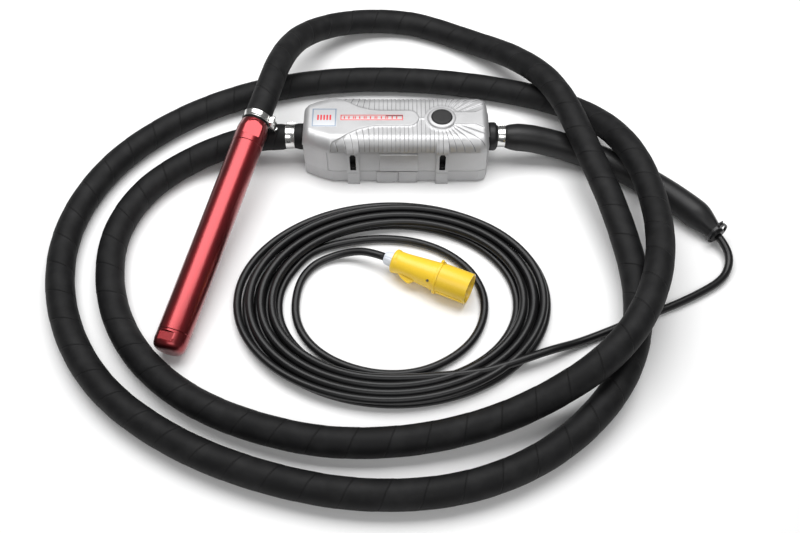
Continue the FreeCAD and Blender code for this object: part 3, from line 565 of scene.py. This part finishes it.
# ---- finishes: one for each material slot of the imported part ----


def castAluminium(name):
    # blasted casting: speckle, faint clouding, and a line of painted shade in the groove where one flute meets the
    # next
    settings = {"color": (0.47, 0.47, 0.475), "creaseShade": (0.05, 0.05, 0.055), "creaseWidth": 0.085,
                "pocket": (0.012, 0.012, 0.013), "pocketLow": 0.0305, "pocketHigh": 0.061, "pocketFace": 0.0553,
                "pocketHalf": 0.0051}
    material = grained(name, settings["color"], 0.46, metallic=0.55, grainSize=1100, drift=0.26,
                       roughSpread=0.25, bump=0.45)
    shader = shaderOf(material)
    plain = shader.inputs["Base Color"].links[0].from_socket
    flute = addNode(material, "ShaderNodeAttribute", attribute_name="flute")
    ridged = addNode(material, "ShaderNodeAttribute", attribute_name="ridged")
    turn = combine(material, "FRACT", flute.outputs["Fac"], 0.0)
    # painted shade: a dark line is drawn where one flute meets the next, in place of the shade in its groove
    creaseShade = combine(material, "GREATER_THAN", turn, 1.0 - settings["creaseWidth"])
    drawn = combine(material, "MULTIPLY", creaseShade, combine(material, "GREATER_THAN", ridged.outputs["Fac"], 0.35))
    soft = combine(material, "MULTIPLY", drawn, 0.62)
    tinted = paintOver(material, plain, soft, settings["creaseShade"])
    # painted shade: the four screw pockets in the long walls are painted nearly black, as they lie in deep shade
    axes = objectPlace(material)[1]
    height = maskBetween(material, axes["Z"], settings["pocketLow"], settings["pocketHigh"])
    deep = combine(material, "LESS_THAN", combine(material, "ABSOLUTE", axes["Y"], 0.0), settings["pocketFace"])
    near = None
    for middle in (-65.0, 70.0):
        away = combine(material, "ABSOLUTE", combine(material, "SUBTRACT", axes["X"], middle * mm), 0.0)
        column = combine(material, "LESS_THAN", away, settings["pocketHalf"])
        near = column if near is None else combine(material, "MAXIMUM", near, column)
    pocket = combine(material, "MULTIPLY", combine(material, "MULTIPLY", near, height), deep)
    tinted = paintOver(material, tinted, pocket, settings["pocket"])
    link(material, tinted, shader.inputs["Base Color"])
    return material


def redAnodised(name):
    # deep red, glossy, with very fine turning marks round the head and a few rubbed places
    settings = {"color": (0.27, 0.007, 0.012), "rubbed": (0.21, 0.006, 0.010), "roughness": (0.30, 0.40)}
    material = newMaterial(name, settings["color"], 0.24, metallic=1.0, Coat_Weight=1.0, Coat_Roughness=0.26)
    place = objectPlace(material)[0]
    shader = shaderOf(material)
    cloud = noiseOver(material, place, 22, 6)
    color = rampOver(material, cloud, [(0.3, settings["rubbed"]), (0.55, settings["color"])])
    link(material, color, shader.inputs["Base Color"])
    turned = addNode(material, "ShaderNodeMapping")
    turned.inputs["Rotation"].default_value = (0, -headTilt, headHeading)
    turned.inputs["Scale"].default_value = (6, 1600, 6)
    link(material, place, turned.inputs["Vector"])
    marks = noiseOver(material, turned.outputs["Vector"], 1.0)
    link(material, bumpFrom(material, marks, 0.05, 0.0001), shader.inputs["Normal"])
    rough = addNode(material, "ShaderNodeMapRange")
    rough.inputs["To Min"].default_value, rough.inputs["To Max"].default_value = settings["roughness"]
    link(material, cloud, rough.inputs["Value"])
    link(material, rough.outputs["Result"], shader.inputs["Roughness"])
    return material


def plateLabel(name):
    # square plate: a thin double border and a row of plain red blocks
    settings = {"centre": (-108, 0), "outer": (18.0, 18.0), "border": (16.3, 16.3)}
    material = grained(name, (0.50, 0.51, 0.53), 0.42, metallic=0.2, grainSize=800, drift=0.08)
    shader = shaderOf(material)
    color = shader.inputs["Base Color"].links[0].from_socket
    frameMask = combine(material, "SUBTRACT", rectangle(material, settings["centre"], settings["outer"]),
                        rectangle(material, settings["centre"], settings["border"]))
    color = paintOver(material, color, frameMask, (0.22, 0.28, 0.36))
    for shift in (-9.2, -4.6, 0.0, 4.6, 9.2):
        bar = rectangle(material, (settings["centre"][0] + shift, settings["centre"][1]), (1.3, 5.4))
        color = paintOver(material, color, bar, (0.62, 0.03, 0.04))
    link(material, color, shader.inputs["Base Color"])
    return material


def stripLabel(name):
    # narrow strip: a red outline round plain red blocks
    settings = {"centre": (-36.5, 0), "outer": (46.9, 5.4), "inner": (45.5, 4.0)}
    material = grained(name, (0.55, 0.50, 0.50), 0.4, metallic=0.2, grainSize=800, drift=0.08)
    shader = shaderOf(material)
    color = shader.inputs["Base Color"].links[0].from_socket
    outline = combine(material, "SUBTRACT", rectangle(material, settings["centre"], settings["outer"]),
                      rectangle(material, settings["centre"], settings["inner"]))
    blocks = rectangle(material, (-38, -0.3), (41, 2.6))
    axes = objectPlace(material)[1]
    coarse, fine = (
        combine(material, "SINE", combine(material, "MULTIPLY", axes["X"], pitch), 0.0) for pitch in (780.0, 1930.0)
    )
    wave = combine(material, "ADD", coarse, fine)
    broken = combine(material, "MULTIPLY", blocks, combine(material, "GREATER_THAN", wave, 0.45))
    color = paintOver(material, color, outline, (0.66, 0.03, 0.04))
    color = paintOver(material, color, broken, (0.66, 0.03, 0.04))
    dark = rectangle(material, (-2.5, 3.4), (13, 1.0))
    color = paintOver(material, color, dark, (0.12, 0.12, 0.12))
    link(material, color, shader.inputs["Base Color"])
    return material


plainFinishes = {
    # slot: colour, roughness, metallic, grain size, drift, roughness spread, bump
    "base_casting": ((0.45, 0.45, 0.455), 0.48, 0.55, 1100, 0.22, 0.25, 0.45),
    "gasket_rubber": ((0.05, 0.05, 0.05), 0.7, 0, 1300, 0.2, 0.1, 0.2),
    "bright_steel": ((0.10, 0.10, 0.10), 0.4, 0.8, 1200, 0.2, 0.15, 0.1),
    "black_button": ((0.009, 0.009, 0.0095), 0.6, 0, 1500, 0.45, 0.15, 0.8),
    "seal_rubber": ((0.03, 0.03, 0.032), 0.6, 0, 1000, 0.2, 0.1, 0.2),
    "spring_steel": ((0.55, 0.55, 0.56), 0.3, 1.0, 900, 0.1, 0.1, 0.05),
    "switch_plastic": ((0.06, 0.06, 0.065), 0.45, 0, 900, 0.1, 0.1, 0.15),
    "board_laminate": ((0.03, 0.16, 0.06), 0.4, 0, 500, 0.2, 0.1, 0.1),
    "brass_posts": ((0.62, 0.46, 0.18), 0.32, 1.0, 900, 0.1, 0.1, 0.05),
    "sink_aluminium": ((0.55, 0.55, 0.56), 0.4, 0.95, 900, 0.15, 0.1, 0.1),
    "transistor_black": ((0.03, 0.03, 0.03), 0.5, 0, 900, 0.15, 0.1, 0.15),
    "capacitor_sleeve": ((0.03, 0.05, 0.12), 0.35, 0, 600, 0.15, 0.1, 0.05),
    "terminal_plastic": ((0.05, 0.24, 0.10), 0.42, 0, 600, 0.1, 0.1, 0.1),
    "spigot_aluminium": ((0.60, 0.60, 0.61), 0.38, 0.95, 900, 0.15, 0.15, 0.1),
    "clamp_steel": ((0.68, 0.68, 0.67), 0.20, 1.0, 700, 0.10, 0.14, 0.04),
    "hose_wrap": ((0.016, 0.016, 0.017), 0.6, 0, 1500, 0.2, 0.1, 0.3),
    "lead_rubber": ((0.02, 0.02, 0.022), 0.5, 0, 1200, 0.15, 0.1, 0.1),
    "tie_nylon": ((0.016, 0.016, 0.017), 0.38, 0, 900, 0.15, 0.12, 0.06),
    "gland_white": ((0.70, 0.74, 0.80), 0.38, 0, 700, 0.08, 0.1, 0.1),
    "plug_yellow": ((0.90, 0.60, 0.035), 0.36, 0, 500, 0.10, 0.12, 0.12),
    "carrier_plastic": ((0.62, 0.30, 0.02), 0.5, 0, 600, 0.12, 0.1, 0.1),
    "pin_brass": ((0.55, 0.44, 0.26), 0.3, 1.0, 900, 0.15, 0.1, 0.05),
    "core_steel": ((0.35, 0.36, 0.38), 0.42, 0.9, 900, 0.2, 0.1, 0.1),
    "winding_copper": ((0.60, 0.22, 0.09), 0.35, 0.9, 1200, 0.2, 0.1, 0.3),
    "shaft_steel": ((0.58, 0.58, 0.60), 0.26, 1.0, 900, 0.1, 0.1, 0.05),
    "bearing_steel": ((0.62, 0.62, 0.64), 0.2, 1.0, 900, 0.08, 0.1, 0.03),
    "cage_brass": ((0.62, 0.45, 0.16), 0.35, 1.0, 900, 0.1, 0.1, 0.05),
    "screw_steel": ((0.42, 0.42, 0.43), 0.3, 1.0, 900, 0.15, 0.1, 0.08),
}
finishes = {}
for slotName, (color, rough, metal, grain, drift, spread, bump) in plainFinishes.items():
    finishes[slotName] = grained(slotName + "Finish", color, rough, metal, grain, drift, spread, bump)
finishes["cast_aluminium"] = castAluminium("castAluminium")
finishes["red_metal"] = redAnodised("redAnodised")
finishes["plate_label"] = plateLabel("squarePlate")
finishes["strip_label"] = stripLabel("redStrip")
finishes["grip_hose_rubber"] = gripMaterial
finishes["cable_rubber"] = cableMaterial
for node in nodes.values():
    for place in node.material_slots:
        place.material = finishes[place.material.name.split(".")[0]]
print("finishes laid on", len(nodes), "nodes")

# ---- tools for the hard pieces ----


def spun(profile, steps=72, builder=None):
    # turns a closed outline of (radius, height) in mm about Z
    builder = builder or bmesh.new()
    corners = [builder.verts.new((radius * mm, 0, height * mm)) for radius, height in profile]
    edges = [builder.edges.new((a, b)) for a, b in zip(corners, corners[1:])]
    if profile[0][0] > 0 or profile[-1][0] > 0:
        edges.append(builder.edges.new((corners[-1], corners[0])))
    bmesh.ops.spin(
        builder, geom=corners + edges, cent=(0, 0, 0), axis=(0, 0, 1), angle=2 * math.pi, steps=steps, use_merge=True,
    )
    bmesh.ops.remove_doubles(builder, verts=builder.verts, dist=0.000004)
    return builder


def block(builder, low, high, turn=None, rounding=0.0, segments=2):
    # a box between two corners in mm, its edges rounded, put in the same mesh
    cube = bmesh.ops.create_cube(builder, size=1.0)
    corners = cube["verts"]
    size = [(b - a) * mm for a, b in zip(low, high)]
    middle = [(b + a) / 2 * mm for a, b in zip(low, high)]
    bmesh.ops.scale(builder, vec=size, verts=corners)
    bmesh.ops.translate(builder, vec=middle, verts=corners)
    if rounding:
        edges = list({edge for vertex in corners for edge in vertex.link_edges})
        made = bmesh.ops.bevel(
            builder, geom=edges, offset=rounding * mm, segments=segments, profile=0.5, affect="EDGES", material=-1,
        )
        corners = {vertex for face in made["faces"] for vertex in face.verts} | {v for v in corners if v.is_valid}
    if turn is not None:
        bmesh.ops.transform(builder, matrix=turn, verts=list(corners))


def hardPiece(builder, name, slotName, replaced=(), place=None, sharp=34):
    # marks the sharp edges, puts the piece in its place and hands it to its body
    bmesh.ops.recalc_face_normals(builder, faces=builder.faces)
    if place is not None:
        bmesh.ops.transform(builder, matrix=place, verts=builder.verts)
    for edge in builder.edges:
        edge.smooth = len(edge.link_faces) == 2 and edge.calc_face_angle(0) < math.radians(sharp)
    for face in builder.faces:
        face.smooth = True
    mesh = bpy.data.meshes.new(name)
    builder.to_mesh(mesh)
    builder.free()
    mesh.materials.append(finishes[slotName])
    piece = newObject(name, mesh)
    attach(piece, "body")
    if replaced:
        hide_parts(*replaced)
    return piece


def alongAxis(origin, forward):
    # a place whose Z runs along forward and whose Y is as near up as it can be
    up = Vector((0, 0, 1))
    lift = (up - forward * up.dot(forward)).normalized()
    side = lift.cross(forward)
    place = Matrix((side, lift, forward)).transposed().to_4x4()
    place.translation = origin
    return place


# ---- poker head ----

headPlace = alongAxis(noseTip * mm, headAxis)
flatSettings = {
    "nose": {"turns": (-8, 172), "depth": 19.9, "low": 10.0, "high": 22.0, "slope": 5.0},
    "top": {"turns": (20, 200), "depth": 19.3, "low": 345.0, "high": 370.0, "slope": 1.8, "arch": 0.05},
}


def planeOff(builder, turns, depth, low, high, slope, arch=0.0):
    # cuts a spanner flat by pressing the surface back to a plane, with a slope at its two ends
    for turn in turns:
        angle = math.radians(turn)
        facing = Vector((-math.sin(angle), math.cos(angle), 0))
        for vertex in builder.verts:
            height = vertex.co.z / mm
            out = vertex.co.dot(facing) / mm
            across = (vertex.co.x * math.cos(angle) + vertex.co.y * math.sin(angle)) / mm
            top = high - arch * across * across
            past = max(low - height, height - top, 0.0)
            limit = depth + past * slope
            if out > limit and math.hypot(vertex.co.x, vertex.co.y) > 15 * mm:
                vertex.co += facing * (limit - out) * mm


noseHeights = [9.4 + 0.35 * step for step in range(40)]
noseProfile = [(0, 0), (6, 0.0), (12, 0.1), (15.2, 0.7), (18.0, 2.0), (20.0, 3.6), (21.3, 5.6), (22.0, 7.6)]
noseProfile += [(min(23.0, 22.3 + 0.18 * (height - 9.4)), height) for height in noseHeights]
noseSeam, topSeam, headEnd = headSettings["noseSeam"], headSettings["topSeam"], headSettings["end"]
noseProfile += [(23, noseSeam - 0.7), (22.4, noseSeam), (0, noseSeam)]
nose = spun(noseProfile, 120)
planeOff(nose, **flatSettings["nose"])
noseCap = hardPiece(nose, "noseCap", "red_metal", ["head_nose_cap"], headPlace, sharp=24)
tube = spun([
    (19, noseSeam), (22.4, noseSeam), (23, noseSeam + 0.7), (23, topSeam - 0.7), (22.4, topSeam), (19, topSeam),
], 120)
headTube = hardPiece(tube, "headTube", "red_metal", ["head_tube"], headPlace, sharp=24)
neck = headSettings["neck"]
taperLength = headEnd - headSettings["taperFrom"]
taper = [(neck + 2.6 * ((headEnd - height) / taperLength) ** 0.8, height)
         for height in (headSettings["taperFrom"] + 0.5 + 0.5 * step for step in range(26))]
topProfile = [(6.5, 322.6), (18.9, 322.6), (18.9, topSeam), (22.4, topSeam), (23, topSeam + 0.7)]
topProfile += [(23, 340 + 0.5 * step) for step in range(41)] + taper
topProfile += [(neck, headEnd - 0.3), (neck - 0.3, headEnd), (13.9, headEnd), (13.9, 402), (6.5, 402)]
adaptor = spun(topProfile, 120)
planeOff(adaptor, **flatSettings["top"])
topAdaptor = hardPiece(adaptor, "topAdaptor", "red_metal", ["head_top_adaptor"], headPlace, sharp=24)

bandSettings = {"from": 377.0, "to": 388.0, "inner": 20.1, "thickness": 1.5}


def clampBand(builder, inner, thickness, low, high):
    # a rolled band: its two rims curl a little, so each throws its own thin highlight
    outer = inner + thickness
    profile = [
        (inner, low), (outer - 0.3, low), (outer + 0.15, low + 0.5), (outer + 0.15, low + 1.2),
        (outer - 0.2, low + 2.0),
        (outer - 0.2, high - 2.0), (outer + 0.15, high - 1.2), (outer + 0.15, high - 0.5), (outer - 0.3, high),
        (inner, high),
    ]
    return spun(profile, 96, builder)


band = clampBand(None, bandSettings["inner"], bandSettings["thickness"], bandSettings["from"], bandSettings["to"])
for count in range(22):
    # the worm's slots show as short bars across the overlap
    turn = Matrix.Rotation(math.radians(200 + count * 6.2), 4, "Z")
    block(band, (21.2, -0.45, 379.6), (21.75, 0.45, 385.4), turn, 0.12, 1)
headBand = hardPiece(band, "headClampBand", "clamp_steel", ["head_clamp_band"], headPlace)
worm = bmesh.new()
block(worm, (-29.2, -9, 375.6), (-21.6, 9, 389.4), None, 1.6, 3)
wormHousing = hardPiece(worm, "headClampHousing", "clamp_steel", ["head_clamp_worm_housing"], headPlace)
wormScrew = spun([
    (0, -20.5), (3.0, -20.5), (3.9, -20.0), (4.2, -19.2), (4.2, -14.4), (3.1, -14), (3.1, 11), (0, 11),
], 36)
for vertex in wormScrew.verts:
    # slotted head
    if vertex.co.z < -19.9 * mm and abs(vertex.co.x) < 0.8 * mm:
        vertex.co.z += 1.2 * mm
screwPlace = headPlace @ Matrix.Translation((-25.45 * mm, 0, 382.5 * mm))
screwPlace = screwPlace @ Matrix.Rotation(math.radians(-90), 4, "X")
headScrew = hardPiece(wormScrew, "headClampScrew", "clamp_steel", ["head_clamp_screw"], screwPlace)
print("poker head made")

# ---- ear clamps on the two hoses at the converter ----

earSettings = {
    "outputEarClamp": ("output_ear_clamp", -169.0, -155.0, 19.0),
    "inputEarClamp": ("input_ear_clamp", 154.0, 167.0, 16.4),
}
for name, (replacedNode, low, high, radius) in earSettings.items():
    width = high - low
    ear = clampBand(None, radius - 1.0, 1.0, 0.0, width)
    pinch = Matrix.Rotation(math.radians(180 + 22), 4, "Z")
    block(ear, (radius - 0.6, -4.6, 0.3), (radius + 2.6, -3.0, width - 0.3), pinch, 0.5, 2)
    block(ear, (radius - 0.6, 3.0, 0.3), (radius + 2.6, 4.6, width - 0.3), pinch, 0.5, 2)
    block(ear, (radius + 1.7, -4.4, 0.3), (radius + 2.9, 4.4, width - 0.3), pinch, 0.5, 2)
    step = Matrix.Rotation(math.radians(180 - 40), 4, "Z")
    block(ear, (radius - 0.6, -6.5, 1.2), (radius + 0.5, 6.5, width - 1.2), step, 0.4, 2)
    # Z of the band runs along world X, and its own X points to the front
    clampPlace = Matrix(((0, 0, 1, low * mm), (-1, 0, 0, 0), (0, -1, 0, 46 * mm), (0, 0, 0, 1)))
    hardPiece(ear, name, "clamp_steel", [replacedNode], clampPlace)
print("ear clamps made")

# ---- converter casing ----

casingSettings = {
    "outline": [(-140, 34), (-120, 44), (-98, 52), (126, 52), (136, 48), (140, 38)],
    "length": 140.0, "rim": 66.0, "edge": 20.0, "endEdge": 11.0, "skin": 1.2,
    "flutePitch": 6.4, "fluteDepth": 1.35, "buttonX": 69.0, "ribX": (-65.0, 70.0), "ribHalf": 9.4, "ribProud": 4.0,
    "buttonHole": 17.8, "columns": 372, "rows": 118,
}
tongueEdge = [(-104, 60), (-95, 45), (-83, 40), (-70, 31), (-57, 23), (-40, 17), (-24, 15), (22, 15), (27, 13),
              (31, 9), (33.5, 4), (34.5, 0)]
stripEdge = [(69, 12), (120, 12), (133, 20), (145, 20)]


def readOff(points, x):
    # height of a broken line at x
    if x <= points[0][0]:
        return points[0][1]
    for (x0, y0), (x1, y1) in zip(points, points[1:]):
        if x <= x1:
            return y0 + (y1 - y0) * (x - x0) / (x1 - x0)
    return points[-1][1]


def smoothStep(low, high, value):
    share = min(max((value - low) / (high - low), 0.0), 1.0)
    return share * share * (3 - 2 * share)


def raisedWidth(x):
    if x < 34.5:
        return readOff(tongueEdge, x)
    return readOff(stripEdge, x) if x > 69 else -3.0


def rowWidth(x):
    # where the rows of the mesh gather, so that the raised edge falls between two rows
    if x < 22:
        return readOff(tongueEdge, x)
    return 15 + (12 - 15) * smoothStep(22, 69, x) if x < 69 else readOff(stripEdge, x)


def fluteTurn(x, y):
    # how many flutes lie to the left of a place: straight in the middle, swept at the left, a fan at the button
    pitch = casingSettings["flutePitch"]
    button = casingSettings["buttonX"]
    if x > button:
        return button / pitch + math.atan2(x - button, abs(y) + 0.001) * 5.5
    if x < -30:
        # the sweep: near the tongue each flute starts further left than it ends at the rim
        out = min(max(abs(y) - 16, 0) / 36, 1.0)
        reach = min((-30 - x) / 60, 1.0)
        x -= 15 * reach * (out ** 0.7 - 1)
        x = -30 + (x + 30) * (1 - 0.30 * reach)
    return x / pitch


def casingTopMesh():
    settings = casingSettings
    builder = bmesh.new()
    bmesh.ops.create_grid(builder, x_segments=settings["columns"], y_segments=settings["rows"], size=1.0)
    turnLayer = builder.verts.layers.float.new("flute")
    ridgeLayer = builder.verts.layers.float.new("ridged")
    straight = settings["length"] - settings["endEdge"]
    endArc = 22.0
    drop = settings["edge"]
    for vertex in builder.verts:
        along = vertex.co.x * (straight + endArc)
        across = abs(vertex.co.y)
        sideways = 1 if vertex.co.y > 0 else -1
        endTurn = 0.0
        x = along
        if abs(along) > straight:
            endTurn = min((abs(along) - straight) / endArc, 1.0) * math.pi / 2
            x = math.copysign(straight + settings["endEdge"] * math.sin(endTurn), along)
        width = readOff(settings["outline"], x)
        flat = width - drop
        whole = flat + drop * math.pi / 2
        gather = rowWidth(x)
        if gather > flat:
            gather = flat + drop * math.asin(min((gather - flat) / drop, 0.9))
        gather = min(gather, 0.9 * whole)
        if across < 0.45:
            run = (gather - 0.4) * across / 0.45
        elif across < 0.49:
            run = gather - 0.4 + 0.8 * (across - 0.45) / 0.04
        else:
            run = gather + 0.4 + (whole - gather - 0.4) * (across - 0.49) / 0.51
        sideTurn = max(run - flat, 0.0) / drop
        y = min(run, flat) + drop * math.sin(sideTurn)
        z = settings["rim"] + drop * math.cos(sideTurn) * math.cos(endTurn)
        # how far each feature stands out along the surface's own direction
        raised = 1.0 if x < -104 else smoothStep(-0.5, 0.5, raisedWidth(x) - y)
        ring = smoothStep(24.5, 27.5, math.hypot(x - settings["buttonX"], y))
        turn = fluteTurn(x, y)
        share = turn - math.floor(turn)
        saw = share if share < 0.9 else (1 - share) * 9
        fade = (1 - raised) * ring * smoothStep(0.5, 3.5, y - max(raisedWidth(x), 0.0))
        if sideTurn > math.radians(76):
            fade *= smoothStep(math.radians(90), math.radians(76), sideTurn)
        if x > 128:
            fade *= smoothStep(136, 128, x)
        stand = settings["skin"] * raised - settings["fluteDepth"] * fade * (1 - saw) * 0.8
        outward = Vector((
            math.copysign(math.sin(endTurn), x), sideways * math.sin(sideTurn) * math.cos(endTurn),
            math.cos(sideTurn) * math.cos(endTurn),
        )).normalized()
        rib = 0.0
        for middle in settings["ribX"]:
            rib = max(rib, smoothStep(settings["ribHalf"] + 0.9, settings["ribHalf"] - 0.3, abs(x - middle))
                      if abs(x - middle) > settings["ribHalf"] - 0.3 else 1.0)
        proud = rib * settings["ribProud"] * math.sin(sideTurn) ** 6
        place = Vector((x, sideways * (y + proud), z)) + outward * stand
        place.z = max(place.z, settings["rim"])
        vertex.co = place * mm
        vertex[turnLayer] = turn
        vertex[ridgeLayer] = fade
    middles = {face: face.calc_center_median() for face in builder.faces}
    hole = [face for face, middle in middles.items()
            if math.hypot(middle.x - settings["buttonX"] * mm, middle.y) < settings["buttonHole"] * mm]
    bmesh.ops.delete(builder, geom=hole, context="FACES")
    rims = [edge for edge in builder.edges if edge.is_boundary]
    skirt = bmesh.ops.extrude_edge_only(builder, edges=rims)["geom"]
    lower = [item for item in skirt if isinstance(item, bmesh.types.BMVert)]
    for vertex in lower:
        vertex.co.z = (settings["rim"] - 0.6) * mm
    floorEdges = [item for item in skirt if isinstance(item, bmesh.types.BMEdge)]
    bmesh.ops.triangle_fill(builder, use_beauty=True, edges=floorEdges)
    return builder


casingTop = hardPiece(casingTopMesh(), "casingTop", "cast_aluminium", ["upper_casing"], sharp=60)
walls = bmesh.new()
walls.from_mesh(nodes["upper_casing"].data)
bmesh.ops.remove_doubles(walls, verts=walls.verts, dist=0.00001)
cut = bmesh.ops.bisect_plane(
    walls, geom=walls.verts[:] + walls.edges[:] + walls.faces[:], dist=0.000001,
    plane_co=(0, 0, 0.066), plane_no=(0, 0, 1), clear_outer=True,
)
cutEdges = [item for item in cut["geom_cut"] if isinstance(item, bmesh.types.BMEdge)]
bmesh.ops.triangle_fill(walls, use_beauty=True, edges=cutEdges)
for stepAt in (-0.1036, -0.1040):
    # the skin's edge runs on down the wall: everything left of it stands a little proud
    bmesh.ops.bisect_plane(
        walls, geom=walls.verts[:] + walls.edges[:] + walls.faces[:], dist=0.000001,
        plane_co=(stepAt, 0, 0), plane_no=(1, 0, 0),
    )
for vertex in walls.verts:
    if vertex.co.x < -0.1039 and abs(vertex.co.y) > 0.0295:
        vertex.co.y += math.copysign(casingSettings["skin"] * mm, vertex.co.y)
for side in (1, -1):
    # a plate stands on the front and the back, its upper edge catching the light
    low, high = sorted((side * 49.0, side * 53.3))
    block(walls, (-25, low, 25.6), (33, high, 62.5), None, 0.9, 3)
casingWalls = hardPiece(walls, "casingWalls", "cast_aluminium", ["upper_casing"], sharp=28)
pads = bmesh.new()
for side in (1, -1):
    low, high = sorted((side * 48.0, side * 54.6))  # clear of the tray's own pads, which reach 54.2
    for left, right in ((-30, -1.5), (3.5, 32)):
        block(pads, (left, low, 1.2), (right, high, 24.2), None, 1.3, 3)
basePads = hardPiece(pads, "basePads", "base_casting", sharp=20)

# the ring round the button, and the two labels on the raised tongue
bezel = spun([
    (15.9, 85.0), (15.9, 88.4), (16.3, 89.0), (17.2, 89.0), (19.2, 88.7), (20.8, 87.9), (21.8, 86.7), (22.6, 85.4),
    (22.8, 85.0),
], 96)
bmesh.ops.translate(bezel, vec=(casingSettings["buttonX"] * mm, 0, 0), verts=bezel.verts)
buttonBezel = hardPiece(bezel, "buttonBezel", "cast_aluminium")
plate = bmesh.new()
block(plate, (-127, -19, 86.9), (-89, 19, 87.55), None, 0.2, 2)
namePlate = hardPiece(plate, "namePlate", "plate_label", ["nameplate"])
strip = bmesh.new()
block(strip, (-84, -5.8, 86.9), (11, 5.8, 87.5), None, 0.2, 2)
decalStrip = hardPiece(strip, "decalStrip", "strip_label", ["decal_strip"])
print("converter made")

# ---- plug on the cable's end ----

plugAxis = Vector((math.cos(math.radians(-25)), math.sin(math.radians(-25)), 0))
plugPlace = Matrix((Vector((0, 0, -1)), Vector((0, 0, -1)).cross(plugAxis) * -1, plugAxis)).transposed().to_4x4()
plugPlace.translation = Vector(tailRoute[0]) * mm
gland = spun([(6.0, 0), (7.6, 0), (8.5, 0.6), (9.8, 3), (11.4, 11.4), (11.4, 14.2), (6.0, 14.2)], 96)
for vertex in gland.verts:
    # twelve hand grooves round the nut
    angle = math.atan2(vertex.co.y, vertex.co.x)
    if 2 * mm < vertex.co.z < 13 * mm and math.hypot(vertex.co.x, vertex.co.y) > 9 * mm:
        bite = max(0.0, math.cos(12 * angle) - 0.55) * 1.6
        vertex.co.x -= math.cos(angle) * bite * mm
        vertex.co.y -= math.sin(angle) * bite * mm
plugGland = hardPiece(gland, "plugGlandNut", "gland_white", ["plug_gland_nut"], plugPlace)
bodyProfile = [
    (11.0, 14.2), (15.6, 14.2), (16.9, 14.9), (17.5, 16.2), (17.5, 18.4), (17.0, 20.0), (16.3, 21.4),
    (16.2, 24), (16.4, 30),
    (17.2, 41), (18.3, 53), (19.2, 62), (20.1, 72), (20.8, 80), (20.8, 82), (18.4, 82), (16.4, 64),
    (13.5, 32), (11.0, 26),
]
plugShell = spun(bodyProfile, 96)
fin = bmesh.new()
finCorners = [(15.2, 26), (15.2, 56), (20.0, 51), (23.6, 48), (23.8, 43), (20.0, 33)]
finVerts = [fin.verts.new((radius * mm, -2.7 * mm, height * mm)) for radius, height in finCorners]
finFace = fin.faces.new(finVerts)
made = bmesh.ops.extrude_face_region(fin, geom=[finFace])
moved = [item for item in made["geom"] if isinstance(item, bmesh.types.BMVert)]
bmesh.ops.translate(fin, vec=(0, 5.4 * mm, 0), verts=moved)
bmesh.ops.recalc_face_normals(fin, faces=fin.faces)
bmesh.ops.bevel(fin, geom=list(fin.edges), offset=0.9 * mm, segments=2, profile=0.5, affect="EDGES", material=-1)
bmesh.ops.rotate(fin, cent=(0, 0, 0), matrix=Matrix.Rotation(math.radians(-70), 3, "Z"), verts=fin.verts)
finMesh = bpy.data.meshes.new("latchFin")
fin.to_mesh(finMesh)
fin.free()
plugShell.from_mesh(finMesh)
bpy.data.meshes.remove(finMesh)
plugBody = hardPiece(plugShell, "plugBody", "plug_yellow", ["plug_body"], plugPlace, sharp=40)
shroudProfile = [
    (17.9, 78.2), (17.0, 78.2), (17.0, 90), (19.6, 90), (19.6, 130.4), (19.9, 131), (22.0, 131),
    (22.3, 130.5), (22.3, 87.2),
    (22.7, 86.2), (23.7, 86.0), (24.0, 85.6), (24.0, 82.6), (23.7, 82.1), (17.9, 82.1),
]
shroud = spun(shroudProfile, 96)
block(shroud, (21.3, -3, 82.1), (27.4, 3, 86), Matrix.Rotation(math.radians(150), 4, "Z"), 0.8, 2)
block(shroud, (21.3, -2, 88), (23.6, 2, 127), Matrix.Rotation(math.radians(-80), 4, "Z"), 0.8, 2)
plugShroud = hardPiece(shroud, "plugShroud", "plug_yellow", ["plug_shroud"], plugPlace, sharp=40)
print("plug made")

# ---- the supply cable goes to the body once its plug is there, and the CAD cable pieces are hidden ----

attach(supplyCable, "body")
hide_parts("supply_cable_lead", "supply_cable_coil", "supply_cable_tail")
